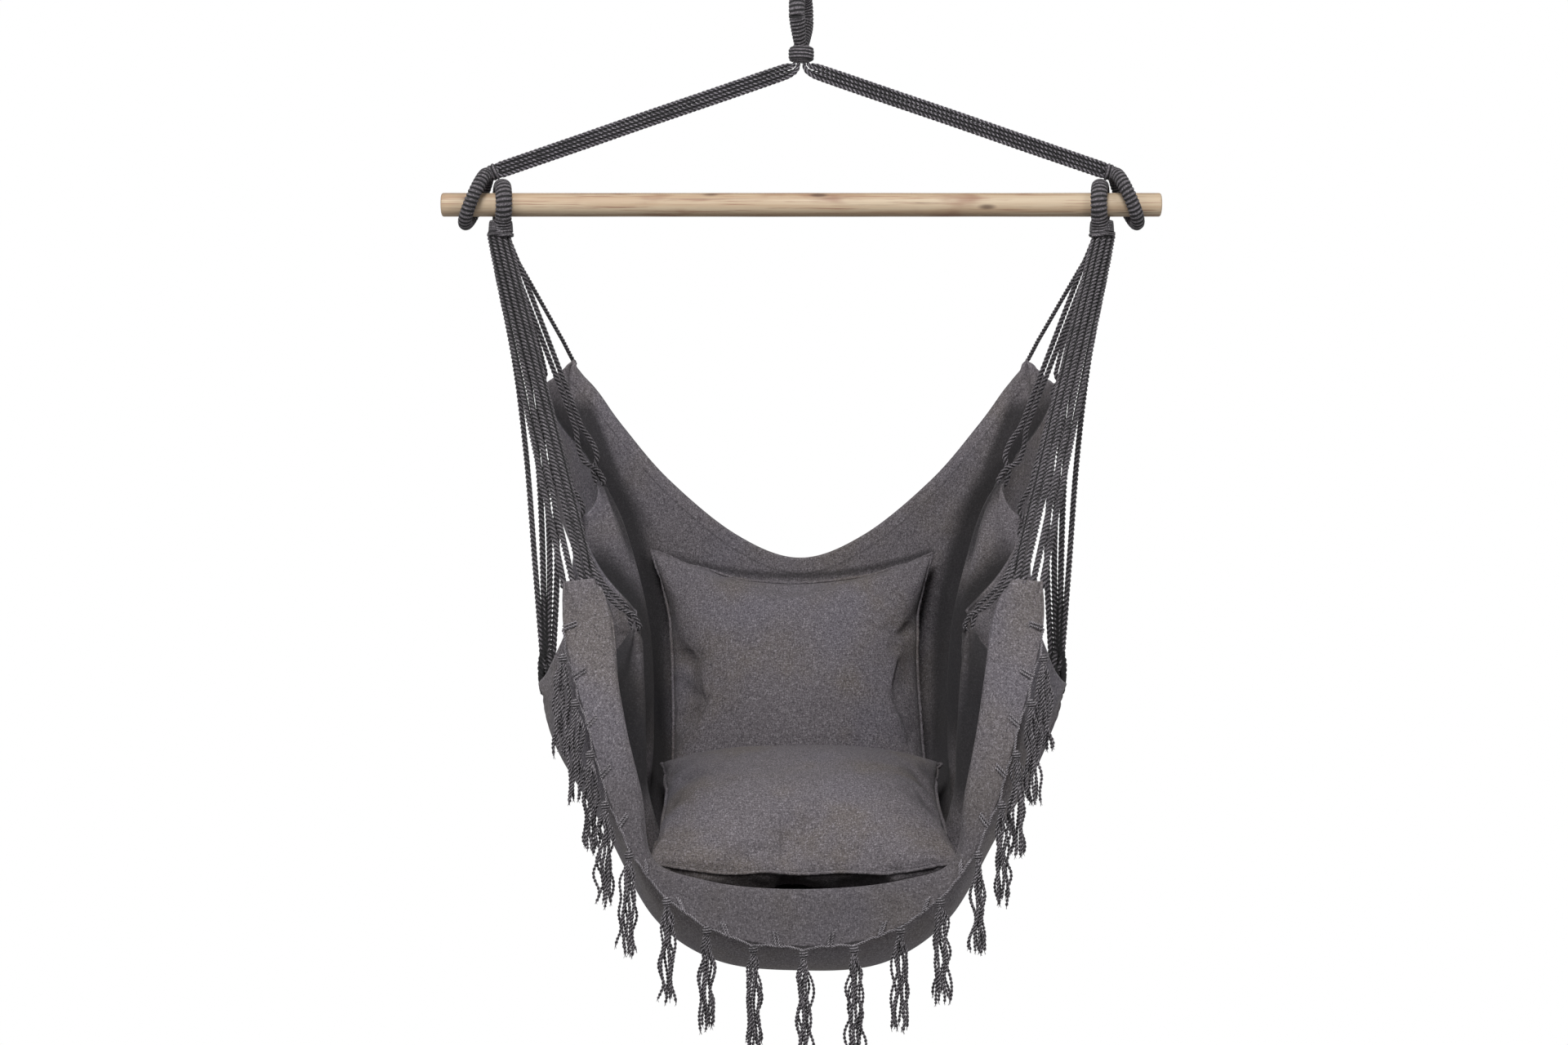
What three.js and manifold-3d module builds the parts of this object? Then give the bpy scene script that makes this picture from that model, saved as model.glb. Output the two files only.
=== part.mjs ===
// Hammock chair, in millimetres, +Z up.
// The origin is the bearing point of the hanging eye: the inside of its top, where a hook carries it.
// The chair faces -Y, +X is to the right of someone who looks at its front.

import * as THREE from 'three';
import { mergeVertices } from 'three/addons/utils/BufferGeometryUtils.js';
import Module from 'manifold-3d';

const wasm = await Module();
wasm.setup();

// Driving sizes of the bar
const barLength = 1000;
const barDiameter = 33;
const barChamfer = 3;
const barDrop = 285;

// Clearances
const weldTolerance = 1e-3;
const seatGap = 0.4;
const layGap = 0.5;
const ropeSeatGap = 0.7;
const swingGap = 0.96;

// Served eyes: a rope core, and a cord wound round it
const servingAlong = 4.4;
const servingAcross = 4.4;
const servingLoops = 13;
const servingSteps = 6;
const eyeTurnDeg = 12;
const eyeSides = 8;
const eyeSteps = 26;

// Hanging eye
const hangingCoreRadius = 5.6;
const hangingOpeningWidth = 38;
const hangingOpeningDrop = 46;
const hangingOpenDeg = 52;

// Eyes round the bar
const barCoreRadius = 3.9;
const barEyeOpenDeg = 50;
const innerEyeReach = 418;
const outerEyeReach = 456;
const outerEyeLeanDeg = 24;
const outerEyeRise = 18;
const outerEyeSpread = 4;

// Necks below or beside the eyes, and the whippings round them
const neckRadius = 12;
const neckSides = 14;
const hangingNeckBottom = 86;
const innerNeckDrop = 52;
const outerNeckRadius = 7.4;
const outerNeckLength = 15;
const whippingLoops = 3;
const whippingSteps = 10;
const whippingAlong = 4.6;
const whippingAcross = 4.8;

// Ropes
const ropeRadius = 3.2;
const ropeSides = 6;
const ropeLayRadius = 8.2;
const hangerPairHalf = 3.45;
const hangerStackHalf = 6.95;
const hangerBendRadius = 14;
const hangerLeadIn = 5;
const hangerSpreadShare = 0.22;
const hangerSteps = 15;
const hangerBendSteps = 4;
const suspensionLeadIn = 7;
const suspensionSteps = 8;
const ropeRoundShare = 0.55;
const ropeProbeShare = 10;
const ropeProbeSides = 12;
const ropeEaseShare = 0.25;

// Sling cloth
const clothThickness = 2.6;
const slingHalfWidth = 372;
const slingDepth = 615;
const slingDrop = 1045;
const slingForward = 32.5;
const clothAcross = 24;
const clothAlongPerBay = 3;
const normalStepShare = 0.005;

// Lacing and tassels on the flap
const lacingRadius = 1.5;
const lacingSides = 5;
const lacingStepsPerBay = 2;
const stitchInset = 18;
const stitchProud = 3.6;
const lacingOutset = 2;
const lacingProud = 5;
const lacingEndShare = 0.85;
const knotGap = 0.2;
const flapProbeShare = 0.25;
const tasselLength = 138;
const tasselKnotRadius = 5.4;
const tasselNeckRadius = 3.4;
const tasselEndRadius = 8.6;
const tasselSides = 7;

// Cushions
const cushionSide = 400;
const cushionThickness = 122;
const cushionDrawIn = 14;
const cushionCells = 12;
const crownSidePower = 2.3;
const crownTopPower = 0.55;
const seatForward = 92;
const seatTiltDeg = 11;
const seatSlideDeg = 5;
const seatHeight = 205;
const seatLift = 280;
const backTopDrop = 768;
const backLeanDeg = 16.5;
const backForward = 40;

// Colours and finishes
const finishes = {
  timber: { color: 0xd6b894, roughness: 0.62, metalness: 0 },
  rope: { color: 0x4f4b50, roughness: 0.95, metalness: 0 },
  canvas: { color: 0x5d585c, roughness: 0.92, metalness: 0 },
  yarn: { color: 0x56535a, roughness: 0.95, metalness: 0 },
};

const rad = THREE.MathUtils.degToRad;
const V = (x, y, z) => new THREE.Vector3(x, y, z);
const chair = new THREE.Group();

function put(name, geometry, finish) {
  const mesh = new THREE.Mesh(geometry, new THREE.MeshStandardMaterial(finishes[finish]));
  mesh.name = name;
  chair.add(mesh);
  return mesh;
}

// Turns the faces outwards if the enclosed volume comes out negative.
function facedOut(positions, faces) {
  const a = V(0, 0, 0);
  const b = V(0, 0, 0);
  const c = V(0, 0, 0);
  let volume = 0;
  for (const [i, j, k] of faces) {
    a.copy(positions[i]);
    b.copy(positions[j]);
    c.copy(positions[k]);
    volume += a.dot(b.cross(c));
  }
  const index = faces.flatMap(([i, j, k]) => (volume < 0 ? [i, k, j] : [i, j, k]));
  const geometry = new THREE.BufferGeometry().setFromPoints(positions);
  geometry.setIndex(index);
  geometry.computeVertexNormals();
  return geometry;
}

// Skins a row of rings of points into one closed body: end to end, or with a fan at each end.
function skin(rings, closed) {
  const count = rings[0].length;
  const positions = rings.flat();
  const faces = [];
  const rows = closed ? rings.length : rings.length - 1;
  for (let r = 0; r < rows; r += 1) {
    const here = r * count;
    const next = ((r + 1) % rings.length) * count;
    for (let s = 0; s < count; s += 1) {
      const t = (s + 1) % count;
      faces.push([here + s, next + s, next + t], [here + s, next + t, here + t]);
    }
  }
  if (!closed) {
    for (let s = 1; s < count - 1; s += 1) {
      const last = (rings.length - 1) * count;
      faces.push([0, s, s + 1], [last, last + s + 1, last + s]);
    }
  }
  return facedOut(positions, faces);
}

// A ring of points round a place on a path, in the plane of the two given directions.
function roundRing(centre, across, up, radius, sides) {
  return Array.from({ length: sides }, (_, s) => {
    const angle = (2 * Math.PI * s) / sides;
    const point = centre.clone().addScaledVector(across, radius * Math.cos(angle));
    return point.addScaledVector(up, radius * Math.sin(angle));
  });
}

// Joins two closed geometries into one.
function joined(first, second) {
  const solids = [first, second].map((geometry) => {
    const bare = geometry.clone();
    bare.deleteAttribute('normal');
    bare.deleteAttribute('uv');
    const merged = mergeVertices(bare, weldTolerance);
    const vertProperties = new Float32Array(merged.attributes.position.array);
    const triVerts = new Uint32Array(merged.index.array);
    return new wasm.Manifold(new wasm.Mesh({ numProp: 3, vertProperties, triVerts }));
  });
  const whole = solids[0].add(solids[1]).getMesh();
  const geometry = new THREE.BufferGeometry();
  geometry.setAttribute('position', new THREE.BufferAttribute(new Float32Array(whole.vertProperties), 3));
  geometry.setIndex(new THREE.BufferAttribute(new Uint32Array(whole.triVerts), 1));
  geometry.computeVertexNormals();
  return geometry;
}

// The oval that an eye follows: its centre, its half sizes, and two directions in its plane.
// The angle starts at the neck's side of the oval.
class EyeOval {
  constructor(centre, halfWidth, halfHeight, side, down) {
    Object.assign(this, { centre, halfWidth, halfHeight, side, down });
    this.normal = side.clone().cross(down).normalize();
  }

  at(angle) {
    return this.centre
      .clone()
      .addScaledVector(this.side, this.halfWidth * Math.sin(angle))
      .addScaledVector(this.down, this.halfHeight * Math.cos(angle));
  }

  outward(angle) {
    const out = this.side.clone().multiplyScalar(this.halfHeight * Math.sin(angle));
    return out.addScaledVector(this.down, this.halfWidth * Math.cos(angle)).normalize();
  }
}

function ovalCore(oval, radius) {
  const rings = [];
  for (let i = 0; i < eyeSteps; i += 1) {
    const angle = (2 * Math.PI * i) / eyeSteps;
    rings.push(roundRing(oval.at(angle), oval.outward(angle), oval.normal, radius, eyeSides));
  }
  return skin(rings, true);
}

// The neck's solid: a short round bar from one point to another.
function neckBar(from, to, radius, sides) {
  const along = to.clone().sub(from);
  const geometry = new THREE.CylinderGeometry(radius, radius, along.length(), sides);
  geometry.applyQuaternion(new THREE.Quaternion().setFromUnitVectors(V(0, 1, 0), along.clone().normalize()));
  geometry.translate(...from.clone().add(to).multiplyScalar(1 / 2).toArray());
  return geometry;
}

const windingGaps = [];

// A cord of rectangular section wound along a path as one unbroken tube.
// place(share) gives the limb's centre with two directions square to it.
function winding(name, place, loops, steps, reach, along, across) {
  const total = loops * steps;
  const seats = Array.from({ length: total + 1 }, (_, i) => {
    const limb = place(i / total);
    const angle = (2 * Math.PI * i) / steps;
    const out = limb.across.clone().multiplyScalar(Math.cos(angle)).addScaledVector(limb.up, Math.sin(angle));
    return { out, centre: limb.centre.clone().addScaledVector(out, reach) };
  });
  const rings = seats.map((seat, i) => {
    const before = seats[Math.max(i - 1, 0)].centre;
    const after = seats[Math.min(i + 1, total)].centre;
    const run = after.clone().sub(before).normalize();
    const side = run.clone().cross(seat.out).normalize();
    const out = side.clone().cross(run).normalize();
    return [[1, 1], [-1, 1], [-1, -1], [1, -1]].map(([o, w]) =>
      seat.centre.clone().addScaledVector(out, (o * across) / 2).addScaledVector(side, (w * along) / 2));
  });
  const apart = Math.round(steps / 2);
  let least = Infinity;
  rings.forEach((ring, i) => {
    rings.slice(i + apart).forEach((other) => {
      ring.forEach((p) => other.forEach((q) => {
        least = Math.min(least, p.distanceTo(q));
      }));
    });
  });
  windingGaps.push([name, least]);
  return skin(rings, false);
}

// How far from the limb's centre the serving's cord has its own centre, so that its chords clear the core.
function servingReach(coreRadius, steps) {
  return (coreRadius + seatGap + servingAcross / 2) / Math.cos(Math.PI / steps);
}

function servedOval(name, oval, coreRadius, openDeg) {
  const from = rad(openDeg);
  const sweep = 2 * Math.PI - 2 * from;
  const place = (share) => {
    const angle = from + sweep * share;
    return { centre: oval.at(angle), across: oval.outward(angle), up: oval.normal };
  };
  const reach = servingReach(coreRadius, servingSteps);
  return winding(name, place, servingLoops, servingSteps, reach, servingAlong, servingAcross);
}

const whippingReach = (neckRadius + seatGap + whippingAcross / 2) / Math.cos(Math.PI / whippingSteps);
const whippingPitch = whippingAlong + layGap;
const whippingHeight = whippingLoops * whippingPitch + whippingAlong;

function whipping(name, x, bottom) {
  const top = bottom + whippingHeight - whippingAlong / 2;
  const run = whippingLoops * whippingPitch;
  const place = (share) => ({ centre: V(x, 0, top - run * share), across: V(1, 0, 0), up: V(0, 1, 0) });
  return winding(name, place, whippingLoops, whippingSteps, whippingReach, whippingAlong, whippingAcross);
}

// Spreader bar
const barRadius = barDiameter / 2;
const barSides = 32;

function spreaderBar() {
  const half = barLength / 2;
  const profile = [
    [0, -half],
    [barRadius - barChamfer, -half],
    [barRadius, barChamfer - half],
    [barRadius, half - barChamfer],
    [barRadius - barChamfer, half],
    [0, half],
  ].map(([r, z]) => new THREE.Vector2(r, z));
  const geometry = new THREE.LatheGeometry(profile, barSides);
  geometry.rotateZ(Math.PI / 2);
  geometry.translate(0, 0, -barDrop);
  return geometry;
}

put('spreader_bar', spreaderBar(), 'timber');

// Hanging eye, its serving and its whipping
const turned = (side) => V(side * Math.sin(rad(eyeTurnDeg)), Math.cos(rad(eyeTurnDeg)), 0);
const hangingLimb = servingReach(hangingCoreRadius, servingSteps) + servingAcross / 2;
const hangingOval = new EyeOval(
  V(0, 0, (hangingLimb - hangingOpeningDrop - hangingCoreRadius) / 2),
  hangingOpeningWidth / 2 + hangingLimb,
  (hangingLimb + hangingOpeningDrop + hangingCoreRadius) / 2,
  turned(1),
  V(0, 0, -1),
);
const whippingBottomSet = 0.6;
const hangingNeckTop = hangingNeckBottom - whippingHeight - whippingBottomSet - neckRadius;
put('hanging_eye_core', joined(
  ovalCore(hangingOval, hangingCoreRadius),
  neckBar(V(0, 0, -hangingNeckTop), V(0, 0, -hangingNeckBottom), neckRadius, neckSides),
), 'rope');
put('hanging_eye_serving', servedOval('hanging eye', hangingOval, hangingCoreRadius, hangingOpenDeg), 'rope');
put('hanging_whipping', whipping('hanging whipping', 0, whippingBottomSet - hangingNeckBottom), 'rope');

// Eyes round the bar
const barLimb = servingReach(barCoreRadius, servingSteps) + servingAcross / 2;
const barEyeRadius = barRadius + seatGap + barLimb;
const innerNeckTop = barDrop + barRadius + seatGap;
const innerNeckBottom = barDrop + innerNeckDrop;

function innerEye(side, label) {
  const x = side * innerEyeReach;
  const halfWidth = barEyeRadius / Math.cos(rad(eyeTurnDeg));
  const oval = new EyeOval(V(x, 0, -barDrop), halfWidth, barEyeRadius, turned(side), V(0, 0, -1));
  const neck = neckBar(V(x, 0, -innerNeckTop), V(x, 0, -innerNeckBottom), neckRadius, neckSides);
  put(`inner_eye_core_${label}`, joined(ovalCore(oval, barCoreRadius), neck), 'rope');
  const serving = servedOval(`inner eye ${label}`, oval, barCoreRadius, barEyeOpenDeg);
  put(`inner_eye_serving_${label}`, serving, 'rope');
  const binding = whipping(`inner whipping ${label}`, x, whippingBottomSet - innerNeckBottom);
  put(`inner_whipping_${label}`, binding, 'rope');
}

// The hanger's leg: an arc under the neck, then a straight run that touches it.
const neckLowest = hangingNeckBottom + swingGap;
const bendCentre = V(2 * hangerPairHalf + hangerBendRadius, 0, -(neckLowest + hangerLeadIn));
const lean = rad(outerEyeLeanDeg);
const outerHalfHeight = (barRadius + seatGap) / Math.cos(lean) + barLimb + outerEyeRise / 2;
const outerHalfWidth = barEyeRadius + outerEyeSpread;
const outerCentre = V(
  outerEyeReach - (outerEyeRise / 2) * Math.sin(lean),
  0,
  -barDrop + (outerEyeRise / 2) * Math.cos(lean),
);
const outerTopWay = V(-Math.sin(lean), 0, Math.cos(lean));
const outerTop = outerCentre.clone().addScaledVector(outerTopWay, outerHalfHeight);
const toTop = outerTop.clone().sub(bendCentre);
const legDrop = Math.atan2(-toTop.z, toTop.x) - Math.asin(hangerBendRadius / toTop.length());
const legWay = V(Math.cos(legDrop), 0, -Math.sin(legDrop));
const legUp = V(Math.sin(legDrop), 0, Math.cos(legDrop));
const legStart = bendCentre.clone().addScaledVector(legUp, -hangerBendRadius);
const legLength = outerTop.clone().sub(legStart).dot(legWay) - outerNeckLength - seatGap;

function mirrored(point, side) {
  return V(side * point.x, point.y, point.z);
}

function outerEye(side, label) {
  const up = mirrored(outerTopWay, side);
  const oval = new EyeOval(mirrored(outerCentre, side), outerHalfWidth, outerHalfHeight, V(0, -1, 0), up);
  const end = outerTop.clone().addScaledVector(legWay, -outerNeckLength);
  const neck = neckBar(mirrored(outerTop, side), mirrored(end, side), outerNeckRadius, neckSides);
  put(`outer_eye_core_${label}`, joined(ovalCore(oval, barCoreRadius), neck), 'rope');
  const serving = servedOval(`outer eye ${label}`, oval, barCoreRadius, barEyeOpenDeg);
  put(`outer_eye_serving_${label}`, serving, 'rope');
}

// One hanger rope: which pair of the leg it lies in (1 above, -1 below), and its place in that pair.
// Along the leg the four ropes open from a square bundle into a flat row and close again.
function hangerRope(side, pair, place) {
  const rings = [];
  const ringAt = (centre, way, up, open, radius) => {
    const turn = (open * Math.PI) / 2;
    const pairHeight = hangerPairHalf + (hangerStackHalf - hangerPairHalf) * Math.sin(turn);
    const height = pair * pairHeight + place * hangerPairHalf * Math.sin(turn);
    const y = place * hangerPairHalf * Math.cos(turn);
    const middle = centre.clone().addScaledVector(up, height).add(V(0, y, 0));
    rings.push(roundRing(middle, up, V(0, 1, 0), radius, ropeSides).map((p) => mirrored(p, side)));
  };
  const start = V(2 * hangerPairHalf, 0, -neckLowest);
  ringAt(start, V(0, 0, -1), V(1, 0, 0), 0, ropeRadius * ropeRoundShare);
  ringAt(start.clone().add(V(0, 0, -ropeRadius * ropeRoundShare)), V(0, 0, -1), V(1, 0, 0), 0, ropeRadius);
  const bend = Math.PI / 2 - legDrop;
  for (let i = 0; i <= hangerBendSteps; i += 1) {
    const angle = (bend * i) / hangerBendSteps;
    const up = V(Math.cos(angle), 0, Math.sin(angle));
    ringAt(bendCentre.clone().addScaledVector(up, -hangerBendRadius), null, up, 0, ropeRadius);
  }
  for (let i = 1; i <= hangerSteps; i += 1) {
    const share = i / hangerSteps;
    const fromEnd = Math.min(share, 1 - share) / hangerSpreadShare;
    const open = THREE.MathUtils.smoothstep(fromEnd, 0, 1);
    ringAt(legStart.clone().addScaledVector(legWay, legLength * share), null, legUp, open, ropeRadius);
  }
  return skin(rings, false);
}

for (const [side, label] of [[-1, 'left'], [1, 'right']]) {
  outerEye(side, label);
  let number = 1;
  for (const pair of [1, -1]) {
    for (const place of [1, -1]) {
      put(`hanger_rope_${label}_${number}`, hangerRope(side, pair, place), 'rope');
      number += 1;
    }
  }
  innerEye(side, label);
}

// The sling's net, from the hem behind the head to the laced edge of the flap.
// Each row runs from the middle of the chair to the side edge, as shares of
// the half width, the depth, and the drop below the bar.
const slingNetShares = [
  [[0, 0.426, 0.473], [0.255, 0.423, 0.44], [0.524, 0.408, 0.362], [0.704, 0.387, 0.287],
    [0.801, 0.372, 0.239], [0.86, 0.359, 0.213], [0.895, 0.35, 0.194]],
  [[0, 0.42, 0.646], [0.255, 0.418, 0.636], [0.524, 0.402, 0.603], [0.766, 0.361, 0.536],
    [0.914, 0.317, 0.44], [0.981, 0.276, 0.33], [1, 0.244, 0.226]],
  [[0, 0.35, 0.866], [0.336, 0.293, 0.88], [0.559, 0.182, 0.823], [0.565, 0.154, 0.713],
    [0.575, 0.13, 0.569], [0.667, 0.107, 0.431], [0.769, 0.098, 0.361]],
  [[0, 0.195, 0.935], [0.323, 0.154, 0.923], [0.605, 0.081, 0.856], [0.78, 0.033, 0.761],
    [0.866, 0, 0.636], [0.855, 0.008, 0.522], [0.82, 0.016, 0.432]],
  [[0, -0.065, 0.957], [0.228, -0.098, 0.935], [0.452, -0.163, 0.861], [0.548, -0.182, 0.77],
    [0.554, -0.18, 0.694], [0.57, -0.179, 0.617], [0.597, -0.179, 0.547]],
  [[0, -0.268, 0.995], [0.296, -0.268, 0.983], [0.53, -0.268, 0.922], [0.726, -0.26, 0.809],
    [0.849, -0.257, 0.73], [0.909, -0.25, 0.675], [0.935, -0.244, 0.625]],
  [[0, -0.46, 0.944], [0.255, -0.455, 0.935], [0.484, -0.439, 0.89], [0.632, -0.426, 0.799],
    [0.72, -0.415, 0.713], [0.766, -0.398, 0.636], [0.806, -0.382, 0.55]],
  [[0, -0.54, 0.859], [0.323, -0.533, 0.85], [0.505, -0.517, 0.823], [0.551, -0.491, 0.74],
    [0.616, -0.463, 0.632], [0.648, -0.442, 0.543], [0.712, -0.431, 0.495]],
  [[0, -0.574, 0.921], [0.255, -0.569, 0.908], [0.484, -0.553, 0.856], [0.629, -0.524, 0.771],
    [0.723, -0.496, 0.665], [0.806, -0.459, 0.558], [0.812, -0.447, 0.494]],
];
const bays = slingNetShares.length - 1;
const spans = slingNetShares[0].length - 1;

function netPoint(row, column) {
  const [x, y, z] = slingNetShares[row][Math.abs(column)];
  const across = Math.sign(column) * x * slingHalfWidth;
  return V(across, y * slingDepth - slingForward, -barDrop - z * slingDrop);
}

// A point on the smooth curve through four points, between the second and the third.
function between(p0, p1, p2, p3, t) {
  const a = p1.clone().multiplyScalar(2);
  a.addScaledVector(p2.clone().sub(p0), t);
  const second = p0.clone().multiplyScalar(2).addScaledVector(p1, -5).addScaledVector(p2, 4).sub(p3);
  a.addScaledVector(second, t * t);
  const third = p1.clone().multiplyScalar(3).addScaledVector(p2, -3).add(p3).sub(p0);
  return a.addScaledVector(third, t * t * t).multiplyScalar(1 / 2);
}

// The curve through a list of points, which runs on straight past its ends.
function along(pointAt, first, last, where) {
  const cell = Math.min(Math.max(Math.floor(where), first), last - 1);
  const get = (i) => {
    if (i < first) return pointAt(first).multiplyScalar(2).sub(pointAt(first + 1));
    if (i > last) return pointAt(last).multiplyScalar(2).sub(pointAt(last - 1));
    return pointAt(i);
  };
  return between(get(cell - 1), get(cell), get(cell + 1), get(cell + 2), where - cell);
}

// The sling's middle surface: u from -1 (left edge) to 1 (right edge), v from 0 (hem) to 1 (laced edge).
function slingAt(u, v) {
  const rowCurve = (row) => along((column) => netPoint(row, column), -spans, spans, u * spans);
  return along(rowCurve, 0, bays, v * bays);
}

// The surface's normal, on the side that faces the sitter and, on the flap, away from the front.
function slingNormal(u, v) {
  const step = normalStepShare;
  const du = slingAt(Math.min(u + step, 1), v).sub(slingAt(Math.max(u - step, -1), v));
  const dv = slingAt(u, Math.min(v + step, 1)).sub(slingAt(u, Math.max(v - step, 0)));
  return du.cross(dv).normalize();
}

function slingCloth() {
  const clothAlong = bays * clothAlongPerBay;
  const sheet = (side) => {
    const points = [];
    for (let j = 0; j <= clothAlong; j += 1) {
      for (let i = 0; i <= clothAcross; i += 1) {
        const u = (2 * i) / clothAcross - 1;
        const v = j / clothAlong;
        points.push(slingAt(u, v).addScaledVector(slingNormal(u, v), (side * clothThickness) / 2));
      }
    }
    return points;
  };
  const positions = [...sheet(1), ...sheet(-1)];
  const row = clothAcross + 1;
  const under = row * (clothAlong + 1);
  const faces = [];
  for (let j = 0; j < clothAlong; j += 1) {
    for (let i = 0; i < clothAcross; i += 1) {
      const a = j * row + i;
      const [b, c, d] = [a + 1, a + row, a + row + 1];
      faces.push([a, b, d], [a, d, c]);
      faces.push([under + a, under + d, under + b], [under + a, under + c, under + d]);
    }
  }
  const rim = [];
  for (let i = 0; i < clothAcross; i += 1) rim.push([i + 1, i]);
  for (let j = 0; j < clothAlong; j += 1) rim.push([j * row, (j + 1) * row]);
  for (let i = 0; i < clothAcross; i += 1) rim.push([clothAlong * row + i, clothAlong * row + i + 1]);
  for (let j = 0; j < clothAlong; j += 1) rim.push([(j + 1) * row + clothAcross, j * row + clothAcross]);
  for (const [p, q] of rim) faces.push([p, q, under + q], [p, under + q, under + p]);
  return facedOut(positions, faces);
}

// The triangles of a geometry, as rows of three points.
function trianglesOf(geometry) {
  const bare = geometry.index ? geometry.toNonIndexed() : geometry;
  const p = bare.attributes.position;
  const at = (i) => V(p.getX(i), p.getY(i), p.getZ(i));
  return Array.from({ length: p.count / 3 }, (_, t) => [at(3 * t), at(3 * t + 1), at(3 * t + 2)]);
}

// How far points can travel along a direction before they meet any of the triangles.
function travel(points, way, triangles) {
  const ray = new THREE.Ray();
  const hit = V(0, 0, 0);
  let least = Infinity;
  for (const point of points) {
    ray.set(point, way);
    for (const [a, b, c] of triangles) {
      if (ray.intersectTriangle(a, b, c, false, hit)) least = Math.min(least, hit.distanceTo(point));
    }
  }
  return least;
}

// How far one piece can travel towards another before they touch.
function travelTo(mover, fixed, way) {
  const moverTriangles = trianglesOf(mover);
  const fixedTriangles = trianglesOf(fixed);
  const there = travel(moverTriangles.flat(), way, fixedTriangles);
  const back = travel(fixedTriangles.flat(), way.clone().negate(), moverTriangles);
  return Math.min(there, back);
}

const cloth = slingCloth();
put('sling_cloth', cloth, 'canvas');
const clothTriangles = trianglesOf(cloth);

// Cushion: two crowned sheets that meet in a seam, with pointed corners and drawn-in sides.
function cushion() {
  const half = cushionSide / 2;
  const sheet = (side) => {
    const points = [];
    for (let j = 0; j <= cushionCells; j += 1) {
      for (let i = 0; i <= cushionCells; i += 1) {
        const s = Math.sin((Math.PI / 2) * ((2 * i) / cushionCells - 1));
        const t = Math.sin((Math.PI / 2) * ((2 * j) / cushionCells - 1));
        const x = s * (half - cushionDrawIn * (1 - t * t) * s * s);
        const y = t * (half - cushionDrawIn * (1 - s * s) * t * t);
        const fall = (1 - Math.abs(s) ** crownSidePower) * (1 - Math.abs(t) ** crownSidePower);
        points.push(V(x, y, (side * cushionThickness * Math.max(fall, 0) ** crownTopPower) / 2));
      }
    }
    return points;
  };
  const positions = [...sheet(1), ...sheet(-1)];
  const row = cushionCells + 1;
  const under = row * row;
  const faces = [];
  for (let j = 0; j < cushionCells; j += 1) {
    for (let i = 0; i < cushionCells; i += 1) {
      const a = j * row + i;
      const [b, c, d] = [a + 1, a + row, a + row + 1];
      const rising = (i < cushionCells / 2) === (j < cushionCells / 2);
      const cuts = rising ? [[a, b, d], [a, d, c]] : [[a, b, c], [b, d, c]];
      faces.push(...cuts);
      faces.push(...cuts.map((cut) => cut.map((k) => under + k).reverse()));
    }
  }
  const geometry = facedOut(positions, faces);
  geometry.deleteAttribute('normal');
  const whole = mergeVertices(geometry, weldTolerance);
  whole.computeVertexNormals();
  return whole;
}

// Seat cushion: lowered along its slide until it lies in the sling.
const seatWay = V(0, -Math.sin(rad(seatSlideDeg)), Math.cos(rad(seatSlideDeg)));
const seatCushion = cushion();
seatCushion.rotateX(rad(seatTiltDeg));
seatCushion.translate(0, -seatForward - slingForward, seatHeight - slingDrop - barDrop);
seatCushion.translate(...seatWay.clone().multiplyScalar(seatLift).toArray());
const seatDown = travelTo(seatCushion, cloth, seatWay.clone().negate()) - seatGap;
seatCushion.translate(...seatWay.clone().multiplyScalar(-seatDown).toArray());
put('seat_cushion', seatCushion, 'canvas');

// Back cushion: stood up with its lean, and moved back until it lies against the sling.
const backCushion = cushion();
backCushion.rotateX(Math.PI / 2 - rad(backLeanDeg));
const backHeight = (cushionSide / 2) * Math.cos(rad(backLeanDeg));
backCushion.translate(0, backForward - slingForward, -backTopDrop - backHeight);
const backTravel = travelTo(backCushion, cloth, V(0, 1, 0)) - seatGap;
backCushion.translate(0, backTravel, 0);
put('back_cushion', backCushion, 'canvas');

// Suspension ropes: where each leaves the neck, as a turn round it, and the net row that it carries.
// The front corner's two ropes hold the flap's fold and its corner; one rope leaves from the middle.
const fan = [
  { row: 0, turnDeg: 108 },
  { row: 1, turnDeg: 57 },
  { row: 2, turnDeg: 160 },
  { row: 3, turnDeg: null },
  { row: 4, turnDeg: 211 },
  { row: 5, turnDeg: 5 },
  { row: 7, turnDeg: 262 },
  { row: 8, turnDeg: 314 },
];

function roundShape(radius, sides) {
  const points = Array.from({ length: sides }, (_, s) => {
    const angle = (2 * Math.PI * s) / sides;
    return new THREE.Vector2(radius * Math.cos(angle), radius * Math.sin(angle));
  });
  return new THREE.Shape(points);
}

function suspensionRope(side, { row, turnDeg }) {
  const lay = turnDeg === null ? 0 : ropeLayRadius;
  const turn = rad(turnDeg ?? 0);
  const x = side * (innerEyeReach + lay * Math.cos(turn));
  const start = V(x, lay * Math.sin(turn), -innerNeckBottom - seatGap);
  const knee = start.clone().add(V(0, 0, -suspensionLeadIn));
  const target = slingAt(side, row / bays);
  const way = target.clone().sub(knee).normalize();
  const shortOf = target.clone().addScaledVector(way, -ropeProbeShare * ropeRadius);
  const across = V(1, 0, 0).cross(way).normalize();
  const up = way.clone().cross(across);
  const probes = [shortOf];
  for (const share of [1 / 3, 2 / 3, 1]) {
    probes.push(...roundRing(shortOf, across, up, ropeRadius * share, ropeProbeSides));
  }
  const plug = neckBar(shortOf.clone().addScaledVector(way, -ropeRadius), shortOf, ropeRadius, ropeProbeSides);
  const free = Math.min(travel(probes, way, clothTriangles), travelTo(plug, cloth, way));
  const end = shortOf.clone().addScaledVector(way, free - ropeSeatGap);
  const path = new THREE.CatmullRomCurve3([start, knee, knee.clone().lerp(end, ropeEaseShare), end]);
  const options = { steps: suspensionSteps, bevelEnabled: false, extrudePath: path };
  return new THREE.ExtrudeGeometry(roundShape(ropeRadius, ropeSides), options);
}

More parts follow.
